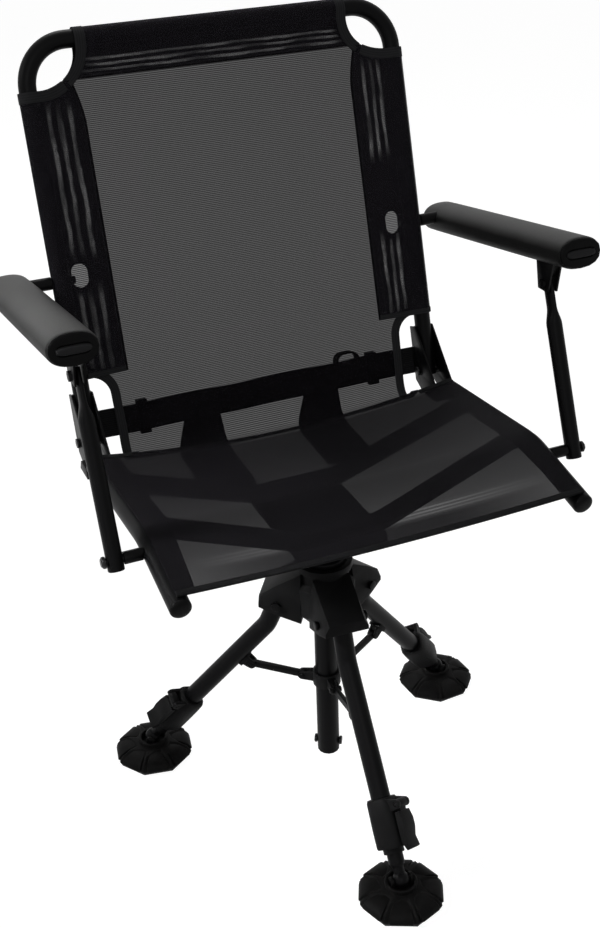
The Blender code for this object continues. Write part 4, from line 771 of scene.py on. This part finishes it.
def sling_rows():
    """Rows over the seat, round the crease and up the back."""
    path = rail_curve()
    path[0] = RAIL_END - NOSE_DIR * SEAT_SETBACK
    path = resample(path, ROW_STEP)
    rows = []
    along = 0.0
    length = RAIL_REAR_Y - path[0].y
    for point, ahead in zip(path, tangents(path)):
        up = X.cross(ahead).normalized()
        share = (point.y - path[0].y) / length
        sag = SEAT_SAG_FRONT + (SEAT_SAG_REAR - SEAT_SAG_FRONT) * share
        rows.append(Row(point + up * SEAT_LIFT, up, SEAT_HALF, sag, along))
        along += ROW_STEP
    seat_count = len(rows)
    last = rows[-1]
    tail_sag = last.sag * (1 - (CREASE_HALF / SEAT_HALF) ** 2)
    start = last.centre - last.up * tail_sag + Y * 0.0018
    before = start
    for t in shares(CREASE_STEPS):
        here = start * (1 - t) ** 2 + CREASE_LOW * (2 * t * (1 - t)) + HINGE * t ** 2
        ahead = (CREASE_LOW - start) * (1 - t) + (HINGE - CREASE_LOW) * t
        along += (here - before).length
        before = here
        sag = (last.sag - tail_sag) * (1 - t)
        rows.append(Row(here, X.cross(ahead).normalized(), CREASE_HALF, sag, along))
    notch_s = NOTCH_TOP - NOTCH_R
    widening = PANEL_HALF - NOTCH_R - CREASE_HALF
    outline = [(notch_s * t, CREASE_HALF + widening * t) for t in (0.2, 0.4, 0.6, 0.8)]
    for t in shares(NOTCH_STEPS):
        a = pi / 2 * t
        outline.append((notch_s + NOTCH_R * sin(a), PANEL_HALF - NOTCH_R * cos(a)))
    notch_count = len(rows) + len(outline)
    panel_half = SEAM_HALF + SEAM_TUCK
    panel_low = NOTCH_TOP + 0.0006
    panel_high = SEAM_TOP + SEAM_TUCK
    for t in shares(PANEL_ROWS - 1):
        s = panel_low + (panel_high - panel_low) * t
        outline.append((s, panel_half + seam_run(s)))
    for s, half in outline:
        rows.append(Row(HINGE + BACK_UP * s, -BACK_REAR, half, 0.0, along + s))
    return rows, seat_count, notch_count


def woven():
    """An empty mesh, and a function that adds a point to it with its place in the weave."""
    bm = bmesh.new()
    layer = bm.verts.layers.float_vector.new("weave")

    def add(point, place):
        vert = bm.verts.new(point)
        vert[layer] = Vector((*place, 0.0))
        return vert
    return bm, add


def cloth_grid(points, weave):
    """A grid of points with its weave coordinates."""
    bm, add = woven()
    grid = [[add(*pair) for pair in zip(*rows)] for rows in zip(points, weave)]
    for a, b in zip(grid, grid[1:]):
        for i in range(len(a) - 1):
            bm.faces.new((a[i], a[i + 1], b[i + 1], b[i]))
    return bm


def thicken(obj, thickness):
    modifier = obj.modifiers.new("cloth", "SOLIDIFY")
    modifier.thickness = thickness
    modifier.offset = 0.0
    modifier.use_even_offset = False
    bake(obj)


def woven_strip(path, across, ups, profile):
    """A solid strip of cloth along a path, from its profile's (across, up) pairs."""
    bm, add = woven()
    rings = []
    run = 0.0
    for index, (point, side, up) in enumerate(zip(path, across, ups)):
        if index:
            run += (point - path[index - 1]).length
        rings.append([add(point + side * u + up * v, (u, run)) for u, v in profile])
    return solid(bm, rings)


def edge_tape(path, inward, normals, width, half=TAPE_HALF):
    """A folded tape that holds an edge: a flat band from a little past the edge to its width."""
    top = [(-half * 0.7, half * 0.75), (0.0, half), (width * 0.5, half), (width - half * 0.4, half * 0.95),
           (width, half * 0.5)]
    return woven_strip(path, inward, normals, top + [(u, -v) for u, v in top[::-1]] + [(-half, 0.0)])


def strap_shape(path, across, ups, width, thick=STRAP_THICK):
    """A flat strap with rounded selvedges along a path."""
    half = width / 2
    edge = thick * 0.6
    top = [(-half, 0.0), (-half + edge * 0.4, thick / 2), (-half + edge * 2, thick / 2), (0.0, thick / 2),
           (half - edge * 2, thick / 2), (half - edge * 0.4, thick / 2), (half, 0.0)]
    return woven_strip(path, across, ups, top + [(u, -v) for u, v in top[-2:0:-1]])


def build_sling():
    """The mesh, from the front hem over the rails, round the crease and up the back."""
    rows, seat_count, notch_count = sling_rows()
    columns = [2 * t - 1 for t in shares(SLING_COLUMNS)]
    points = [[row.at(row.half * t) for t in columns] for row in rows]
    weave = [[(row.half * t, row.along) for t in columns] for row in rows]
    sling = add_object("sling_mesh", cloth_grid(points, weave), [MESH])
    thicken(sling, CLOTH)
    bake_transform(sling)
    settle(sling, None, "seat_sling", "back_sling")

    front = rows[0]
    line = [front.half * (2 * t - 1) for t in shares(HEM_STEPS)]
    edge = [front.at(x) for x in line]
    inside = [(rows[1].at(x) - front.at(x)).normalized() for x in line]
    hem = edge_tape(edge, inside, [front.up] * len(edge), *FRONT_HEM)
    extras = [add_piece("front_hem", hem, HEM_TAPE, "seat")]

    for name, side in SIDES:
        points = []
        weave = []
        for row in rows[:seat_count]:
            inner = BAND_INNER - BAND_RUN * min(1.0, row.along / BAND_RUN_LENGTH)
            lanes = [inner + (BAND_OUTER - inner) * t for t in shares(BAND_COLUMNS)]
            points.append([row.at(side * x, -BAND_DROP) for x in lanes])
            weave.append([(x, row.along) for x in lanes])
        band = add_object(f"seat_band_{name}", cloth_grid(points, weave), [BAND_MESH])
        thicken(band, BAND_WALL)
        extras.append(settle(band, "seat"))

        notch = rows[notch_count - 1:seat_count - 1:-1]
        path = [row.at(side * row.half) for row in notch]
        ups = [row.up for row in notch]
        inside = [(t.cross(n) * side).normalized() for t, n in zip(tangents(path), ups)]
        tape = add_object(f"notch_tape_{name}", edge_tape(path, inside, ups, NOTCH_TAPE), [TAPE])
        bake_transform(tape)
        extras.append(settle(tape, None))

        row = rows[seat_count - 1]
        ends = [CREASE_HALF + (SEAT_HALF - CREASE_HALF) * t for t in shares(BAND_COLUMNS)]
        path = [row.at(side * x) for x in ends]
        ahead = (rows[seat_count - 2].centre - row.centre).normalized()
        tape = edge_tape(path, [ahead] * len(path), [row.up] * len(path), REAR_HEM)
        extras.append(add_piece(f"rear_hem_{name}", tape, HEM_TAPE, "seat"))
    return sling, extras


def teardrop(seam, radius, line_steps=8, arc_steps=22):
    """Loop round the tube from the seam: (towards the seam, to the rear) pairs."""
    beta = acos(radius / seam)
    touch = radius * cos(beta)
    rise = radius * sin(beta)
    line = [(seam + (touch - seam) * t, rise * t) for t in shares(line_steps)[:-1]]
    angles = [beta + (2 * pi - 2 * beta) * t for t in shares(arc_steps)]
    arc = [(radius * cos(a), -radius * sin(a)) for a in angles]
    return [(u, -v) for u, v in line] + arc + line[:0:-1]


def loop_normals(loop):
    """Outward normals of a loop, in its plane."""
    normals = []
    for before, after in zip(loop[-1:] + loop[:-1], loop[1:] + loop[:1]):
        along = (Vector(after) - Vector(before)).normalized()
        normals.append(Vector((along.y, -along.x)))
    return normals


def corner_s(x):
    """Height of the side sleeve's top edge at x."""
    share = min(1.0, max(0.0, (CORNER_X - x) / CORNER_WIDE))
    return min(SEAM_TOP, CORNER_S - CORNER_HIGH * sqrt(1 - share * share))


def corner_x(s):
    """Half width of the top sleeve at height s."""
    share = min(1.0, max(0.0, (CORNER_S - s) / CORNER_HIGH))
    return CORNER_X - CORNER_WIDE * sqrt(1 - share * share)


def cut_slot(sleeve, side):
    """Cut the arm's slot through the rear layer of a side sleeve."""
    outline = []
    wide, high = SLOT_HALF
    for a in turns(SLOT_STEPS):
        outline.append((wide * cos(a), wide * sin(a) + copysign(high - wide, sin(a))))
    rings = [[Vector((side * SLOT_AT[0] + u, n, SLOT_AT[1] + v)) for u, v in outline] for n in SLOT_REACH]
    cutter = add_object("slot", loft(rings), [LIT_SLEEVE_FRONT], BACK)
    modifier = sleeve.modifiers.new("slot", "BOOLEAN")
    modifier.operation = "DIFFERENCE"
    modifier.solver = "EXACT"
    modifier.object = cutter
    bake(sleeve, 50)
    bpy.data.objects.remove(cutter, do_unlink=True)


def add_sleeve(name, loops, place, stations, side=None):
    """A sleeve between two loops, with the arm's slot if it lies on a side.

    place(loop point, share along) gives a point and its weave.
    """
    bm, add = woven()
    skins = [[[add(*place(pair, t)) for pair in loop] for t in shares(stations)] for loop in loops]
    layers = [LIT_SLEEVE_FRONT, SLEEVE_REAR[name]]
    sleeve = add_object(f"sleeve_{name}", hollow(bm, *skins), layers, BACK)
    if side:
        cut_slot(sleeve, side)
    away = BACK.inverted()
    for face in sleeve.data.polygons:
        face.material_index = 0 if (away @ face.center).y < -0.0004 else 1
    return settle(sleeve, "back")


def sleeve_tape(name, path, ups, guess, width):
    """Tape round a sleeve's open end, lying about the way of guess."""
    inside = [(guess - t * guess.dot(t)).normalized() for t in tangents(path)]
    return add_piece(name, edge_tape(path, inside, ups, width, SLEEVE_TAPE_HALF), TAPE, "back", matrix=BACK)


def sleeve_loops(seam):
    """A sleeve's outer and inner loops, and its outer edge with normals for a tape."""
    edge = teardrop(seam, SLEEVE_R, EDGE_STEPS)
    loops = teardrop(seam, SLEEVE_R), teardrop(seam - SEAM_LAP, SLEEVE_R - SLEEVE_WALL)
    return loops, list(zip(edge, loop_normals(edge)))[1:]


def build_sleeves():
    """The mesh doubled round the back tube, open at the corners."""
    pieces = []
    seam = BACK_HALF - SEAM_HALF
    loops, edge = sleeve_loops(seam)
    for name, side in SIDES:
        def place(pair, t):
            q, n = pair
            x = BACK_HALF - q
            run = max(0.0, (q - SLEEVE_R) / (seam - SLEEVE_R))
            top = corner_s(x)
            for _ in range(3):
                top = corner_s(x + seam_run(top) * run)
            s = NOTCH_TOP + (top - NOTCH_TOP) * t
            x += seam_run(s) * run
            return Vector((side * x, n, s)), (x, s)
        pieces.append(add_sleeve(name, loops, place, SLEEVE_STATIONS, side))
        for end, t, way, width in (("low", 0.0, Z, SLEEVE_TAPE / 2), ("high", 1.0, -Z, SLEEVE_TAPE)):
            path = []
            ups = []
            for pair, normal in edge:
                point = place(pair, t)[0]
                if point.z < SEAM_TOP - 0.0002:
                    path.append(point)
                    ups.append(Vector((-side * normal.x, normal.y, 0)))
            pieces.append(sleeve_tape(f"sleeve_hem_{end}_{name}", path, ups, way, width))

    loops, edge = sleeve_loops(BACK_LENGTH - SEAM_TOP)

    def place_top(pair, t):
        q, n = pair
        s = BACK_LENGTH - q
        x = corner_x(s) * (2 * t - 1)
        return Vector((x, n, s)), (s, x)
    pieces.append(add_sleeve("top", loops, place_top, TOP_STATIONS))
    for name, side in SIDES:
        path = [place_top(pair, (side + 1) / 2)[0] for pair, _ in edge]
        ups = [Vector((0, normal.y, -normal.x)) for _, normal in edge]
        pieces.append(sleeve_tape(f"top_hem_{name}", path, ups, X * -side, SLEEVE_TAPE))
    return pieces


def build_tubes():
    """Rails, cross tubes, back frame and their ends, round where the solids have facets."""
    for name, side in SIDES:
        shift = X * (side * RAIL_HALF)
        path = [p + shift for p in rail_curve()]
        add_piece(f"rail_{name}", tube(path, X, RAIL_R, RAIL_WALL), POWDER, "seat", f"seat_rail_{name}")
        outline = [(0, -0.012), (0.0098, -0.012), (0.0098, 0.0003), (RAIL_R, 0.0003), (RAIL_R, 0.0020),
                   (RAIL_R * 0.97, 0.0032), (RAIL_R * 0.88, 0.0045), (RAIL_R * 0.70, 0.0055),
                   (RAIL_R * 0.45, 0.0061), (0, 0.0063)]
        cap = turned(outline, RAIL_END + shift, NOSE_DIR)
        add_piece(f"rail_end_{name}", cap, CAP_PLASTIC, "seat", f"rail_cap_{name}")
    for name, y in CRADLE_YS.items():
        rail_z = rail_height(y)
        short = RAIL_R / 2 / (RAIL_HALF - CRADLE_FLAT_HALF)
        end_x = RAIL_HALF - RAIL_R / 2
        end_z = rail_z + (CRADLE_FLAT_Z - rail_z) * short
        corners = [Vector((-end_x, y, end_z)), Vector((-CRADLE_FLAT_HALF, y, CRADLE_FLAT_Z)),
                   Vector((CRADLE_FLAT_HALF, y, CRADLE_FLAT_Z)), Vector((end_x, y, end_z))]
        shape = tube(round_corners(corners, CRADLE_BEND_R), Y, CRADLE_R, CRADLE_WALL)
        outline = [(CRADLE_R * 0.9, -0.0030), (CRADLE_R + 0.0022, -0.0012), (CRADLE_R + 0.0022, 0.0012),
                   (CRADLE_R * 0.9, 0.0030)]
        beads = []
        for _, side in SIDES:
            centre = Vector((side * (RAIL_HALF - RAIL_R * 0.92), y, end_z))
            beads.append(turned(outline, centre, Vector((side, 0, 0.40)), 32))
        add_piece(f"cross_tube_{name}", merged(shape, *beads), POWDER, "seat", f"cradle_{name}")
    corners = [Vector((-BACK_HALF, 0, -BACK_TAIL)), Vector((-BACK_HALF, 0, BACK_LENGTH)),
               Vector((BACK_HALF, 0, BACK_LENGTH)), Vector((BACK_HALF, 0, -BACK_TAIL))]
    shape = tube(round_corners(corners, BACK_BEND_R, BACK_STEPS), Y, BACK_TUBE_R, BACK_WALL)
    add_piece("back_tube", shape, POWDER, "back", "back_frame", matrix=BACK)
    outline = [(0, -0.0010), (0.0070, -0.0010), (0.0070, 0.0008), (0.0062, 0.0016), (0.0050, 0.0016),
               (0.0050, 0.0052), (0.0042, 0.0062), (0, 0.0062)]
    for name, side in SIDES:
        place = Vector((side * (BACK_HALF - BACK_TUBE_R), 0, ARM_PIVOT_UP))
        add_piece(f"pivot_nut_{name}", turned(outline, place, X * -side, 24), HARDWARE, "back", matrix=BACK)


def pad_shape(front, end):
    """A crowned pad with a flat front and a rounded rear."""
    stations = [(0.0, 0.945), (0.0008, 0.975), (0.0022, 0.993), (PAD_EASE, 1.0)]
    length = (end - front).length
    for t in shares(20)[1:-1]:
        stations.append((PAD_EASE + (length - PAD_EASE) * t, 1.0 + PAD_CROWN * sin(pi * t)))
    for t in shares(9)[1:-1]:
        a = pi / 2 * t
        stations.append((length + PAD_ROUND * sin(a), cos(a) ** 0.62))
    rings = []
    for along, size in stations:
        profile = superellipse(PAD_WIDTH * size, PAD_HEIGHT * size, 2.3)
        here = front + BAR_DIR * along
        rings.append([here + X * u + BAR_DIR.cross(X) * -v for u, v in profile])
    return loft(rings)


def upright_shape(foot):
    """A round tube, pressed flat at its top."""
    width = 2 * UPRIGHT_R
    flat = TONGUE_THICK / width
    start = UPRIGHT_LENGTH - CLIP_HALF - UPRIGHT_R - UPRIGHT_TAPER
    stations = [(-0.012, 0.93, 0.93), (-0.0112, 1.0, 1.0), (start, 1.0, 1.0)]
    for t in shares(6)[1:]:
        ease = t * t * (3 - 2 * t)
        stations.append((start + UPRIGHT_TAPER * t, 1.0, 1.0 + (flat - 1.0) * ease))
    stations += [(UPRIGHT_LENGTH + 0.0038, 1.0, flat), (UPRIGHT_LENGTH + 0.0070, 0.82, flat),
                 (UPRIGHT_LENGTH + 0.0085, 0.55, flat * 0.96)]
    rings = []
    for along, deep, wide in stations:
        here = foot + UPRIGHT_UP * along
        profile = superellipse(width * deep, width * wide, 2.15, 32)
        rings.append([here + X.cross(UPRIGHT_UP) * u + X * v for u, v in profile])
    return loft(rings)


def build_arms():
    """Foam pads and the uprights."""
    for name, side in SIDES:
        middle = X * (side * ARM_HALF)
        front = PAD_FRONT + middle
        arm = f"arm_{name}"
        pad = add_piece(f"pad_{name}", pad_shape(front, PAD_REAR + middle), FOAM, arm, f"arm_pad_{name}")
        shape = upright_shape(STUB + X * (side * UPRIGHT_HALF))
        add_piece(f"upright_{name}_tube", shape, POWDER, f"upright_{name}", f"arm_upright_{name}")
        bevelled(f"arm_bar_{name}", arm, POWDER)
        bevelled(f"pad_cap_{name}", arm, CAP_PLASTIC, 0.0006)
        # A light bar in the cap's slot: a painted highlight along the slot, given a little shape.
        face = front - BAR_DIR * (CAP_REACH - CAP_SLOT_DEPTH)
        wide, high = CAP_HIGHLIGHT_BAR
        rings = []
        for lift, size in ((-0.0010, 1.0), (0.0018, 1.0), (0.0032, 0.88), (0.0041, 0.66), (0.0044, 0.36)):
            profile = superellipse(wide - high * (1 - size), high * size, 3.2)
            rings.append([face - BAR_DIR * lift + X * u + BAR_DIR.cross(X) * -v for u, v in profile])
        add_piece(f"cap_highlight_bar_{name}", loft(rings), CAP_BAR_HIGHLIGHT, arm)
        bevelled(f"arm_stub_{name}", "seat", POWDER, 0.0004, angle=50)
        bevelled(f"stub_bolt_{name}", "seat", HARDWARE, angle=50)


def on_back(along, rear):
    return HINGE + BACK_UP * along + BACK_REAR * rear


def build_strap():
    """Strap behind the lower back with its looped end, and the two webs down to the rear cross tube."""
    middle = STRAP_LOW + STRAP_WIDTH / 2
    path = []
    for t in shares(STRAP_STEPS):
        x = STRAP_HALF * (2 * t - 1)
        ease = 1 - (x / STRAP_HALF) ** 4
        rear = STRAP_REAR + STRAP_WAVE * ease * sin(x * 31)
        path.append(X * x + on_back(middle + STRAP_WAVE * sin(x * 46), rear))
    band = strap_shape(path, [BACK_UP] * len(path), [BACK_REAR] * len(path), STRAP_WIDTH)

    tube_y = CRADLE_YS["rear"]
    slope = (rail_height(tube_y) - CRADLE_FLAT_Z) / (RAIL_HALF - CRADLE_FLAT_HALF)
    tube_z = CRADLE_FLAT_Z + (WEB_X - CRADLE_FLAT_HALF) * slope
    at_tube = Vector((0, tube_y + CRADLE_R + 0.0003, tube_z))
    top = on_back(STRAP_LOW + 0.004, STRAP_REAR + 0.0004)
    hang = top + Vector((0, 0.006, -WEB_DROP))
    webs = []
    for _, side in SIDES:
        line = resample(round_corners([top, hang, at_tube], WEB_BEND_R), WEB_STEP)
        line = [p + X * (side * WEB_X) for p in line]
        ups = [X.cross(t).normalized() for t in tangents(line)]
        spans = [X * (1 + WEB_SPREAD * min(1.0, i * WEB_STEP / WEB_DROP)) for i in range(len(line))]
        webs.append(strap_shape(line, spans, ups, WEB_WIDTH))

    loop = []
    for t in shares(LOOP_STEPS):
        a = pi * t
        wide = copysign(abs(cos(a)) ** 0.8, -cos(a)) * LOOP_HALF
        up = STRAP_LOW + STRAP_WIDTH - 0.004 + LOOP_RISE * sin(a) ** 0.7
        loop.append(X * (LOOP_X + wide) + on_back(up, STRAP_REAR + 0.003))
    ups = [BACK_REAR.cross(t).normalized() for t in tangents(loop)]
    tail = strap_shape(loop, [BACK_REAR] * len(loop), ups, LOOP_WIDTH, LOOP_THICK)
    add_piece("strap", merged(band, *webs, tail), WEBBING, "seat", "webbing_strap")
    for name, _ in SIDES:
        bevelled(f"strap_slider_{name}", "seat", PLASTIC, 0.0009, 3, 40)


def foot_petals():
    """Raised pads between a foot's ridges, in the leg's frame."""
    petals = []
    for i in range(FOOT_SIDES):
        turn = Matrix.Rotation(2 * pi * (i + 0.5) / FOOT_SIDES, 3, "Z")
        rings = []
        for index, (radius, z, size) in enumerate(PETAL):
            before = PETAL[max(0, index - 1)]
            after = PETAL[min(len(PETAL) - 1, index + 1)]
            rise = Vector((before[1] - after[1], 0, after[0] - before[0])).normalized()
            half = radius * size * tan(PETAL_HALF)
            ring = [Vector((radius, u * half, z)) + rise * v for u, v in PETAL_PROFILE]
            rings.append([turn @ point + Vector((ANKLE.x, 0, 0)) for point in ring])
        petals.append(loft(rings))
    return merged(*petals)


def lower_leg():
    """Lower leg tube with its ankle's neck, ball and pin."""
    start = LEG_BEND + LEG_DIR * LOWER_START
    end = ANKLE - LEG_DIR * LOWER_END_SETBACK
    shape = tube([start, end], Y, LOWER_R, LOWER_WALL)
    plug = LOWER_R - LOWER_WALL / 2
    outline = [(0, -LOWER_R), (plug, -LOWER_R), (plug, 0.0012), (plug * 0.97, 0.0020),
               (ANKLE_NECK_R * 1.04, 0.0044), (ANKLE_NECK_R, 0.0054), (ANKLE_NECK_R, LOWER_END_SETBACK),
               (0, LOWER_END_SETBACK)]
    neck = turned(outline, end, LEG_DIR, 40)
    angles = [pi * t for t in shares(20)[1:-1]]
    outline = [(ANKLE_BALL_R * sin(a), -ANKLE_BALL_R * cos(a)) for a in angles]
    ball = turned([(0, -ANKLE_BALL_R), *outline, (0, ANKLE_BALL_R)], ANKLE, Y, 40)
    reach, radius, ease = ANKLE_PIN_REACH, ANKLE_PIN_R, ANKLE_PIN_EASE
    outline = [(0, -reach), (radius - ease, -reach), (radius, ease - reach), (radius, reach - ease),
               (radius - ease, reach), (0, reach)]
    pin = turned(outline, ANKLE, Y, 24)
    return merged(shape, neck, ball, pin)


def build_legs():
    """Upper and lower leg tubes, and the bevelled mouldings on them."""
    for number, azimuth in enumerate(LEG_AZIMUTHS, 1):
        matrix = BASE @ Matrix.Rotation(radians(azimuth), 4, "Z")
        leg = f"leg_{number}"
        foot = f"foot_{number}"
        corners = [LEG_PIVOT - NECK_DIR * LEG_TOP, LEG_BEND, LEG_BEND + LEG_DIR * LEG_TUBE_END]
        upper = tube(round_corners(corners, LEG_BEND_R), Y, LEG_R, LEG_WALL)
        add_piece(f"leg_upper_{number}", upper, POWDER, leg, f"leg_tube_{number}", matrix=matrix)
        add_piece(f"leg_lower_{number}", lower_leg(), POWDER, f"lower_{leg}", f"lower_tube_{number}",
                  matrix=matrix)
        bevelled(f"brace_bracket_{number}", leg, PLASTIC)
        bevelled(f"lock_housing_{number}", leg, PLASTIC, 0.0009)
        bevelled(f"lock_lever_{number}", f"lever_{number}", PLASTIC, 0.0010, 3)
        bevelled(foot, foot, RUBBER, 0.0012, 3, 20)
        add_piece(f"foot_petals_{number}", foot_petals(), RUBBER, foot, matrix=matrix)
        bevelled(f"brace_{number}", f"brace_{number}", POWDER)
        bevelled(f"leg_pivot_pin_{number}", "base", POWDER, angle=50, slot="dark_hardware")


def build_base():
    """Post, hub and fittings."""
    outline = [(POST_R - 0.002, POST_BOTTOM), (POST_R - 0.0004, POST_BOTTOM), (POST_R, POST_BOTTOM + 0.0004),
               (POST_R, POST_TOP), (POST_R - 0.002, POST_TOP)]
    add_piece("post", turned(outline, Vector(), Z), POWDER, "base", "center_post", matrix=BASE)
    bevelled("hub_body", "base", PLASTIC, 0.0012, 3)
    bevelled("brace_collar", "collar", PLASTIC, 0.0006)
    bevelled("post_end_cap", "base", CAP_PLASTIC, angle=50)
    bevelled("post_stop_bolt", "base", HARDWARE, angle=50)
    bevelled("swivel_plate", "seat", POWDER, 0.0008)
    bevelled("swivel_spindle", "seat", POWDER, 0.0006, angle=40)
    for name, _ in SIDES:
        bevelled(f"hinge_bracket_{name}", "seat", POWDER)
        bevelled(f"hinge_bolt_{name}", "seat", HARDWARE, angle=50)
    bearing = NODES["swivel_bearing"]
    bearing.data.materials.clear()
    bearing.data.materials.append(HARDWARE)


def build_stage():
    """White floor and surroundings, the soft lamps, and the photograph's camera."""
    scene = bpy.context.scene
    bm = bmesh.new()
    bmesh.ops.create_circle(bm, cap_ends=True, segments=64, radius=30.0)
    f = Finish("floor")
    f.done(grey(FLOOR_GREY), 0.9, 0.1)
    glow = f.add("Emission", {"Color": grey(1.0), "Strength": FLOOR_GLOW})
    soft = f.add("BsdfDiffuse", {"Color": grey(FLOOR_SHADOW)})
    white = f.add("AddShader", {0: glow.outputs[0], 1: soft.outputs[0]})
    mix = f.add("MixShader", {0: f.shown(), 1: f.shader.outputs[0], 2: white.outputs[0]})
    f.put(f.tree.nodes["Material Output"].inputs["Surface"], mix.outputs[0])
    add_object("floor", bm, [f.material], Matrix.Translation((0, 0, -0.0005)))

    scene.world = bpy.data.worlds.new("studio")
    scene.world.use_nodes = True
    sky = Nodes(scene.world.node_tree)
    sockets = sky.tree.nodes["Background"].inputs
    sky.put(sockets["Color"], grey(1.0))
    sky.put(sockets["Strength"], sky.spread(sky.shown(), WORLD_LIGHT, 1.0))

    for name, (place, target, size, watts, spread) in LAMPS.items():
        data = bpy.data.lights.new(name, "AREA")
        data.shape = "DISK"
        data.size = size
        data.energy = watts
        data.spread = radians(spread)
        light = bpy.data.objects.new(name, data)
        scene.collection.objects.link(light)
        light.location = place
        light.rotation_euler = (Vector(target) - Vector(place)).to_track_quat("-Z", "Y").to_euler()

    camera = bpy.data.cameras.new("camera")
    camera.sensor_fit = "VERTICAL"
    camera.sensor_height = 36.0
    camera.lens = CAMERA_LENS
    viewer = bpy.data.objects.new("camera", camera)
    scene.collection.objects.link(viewer)
    matrix = Matrix((CAMERA_RIGHT, CAMERA_UP, -CAMERA_FORWARD)).transposed().to_4x4()
    matrix.translation = CAMERA_PLACE
    viewer.matrix_world = matrix
    scene.camera = viewer
    scene.view_settings.view_transform = "Standard"


build_stage()
sling, extras = build_sling()
extras += build_sleeves()
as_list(extras)
build_tubes()
build_arms()
build_strap()
build_legs()
build_base()
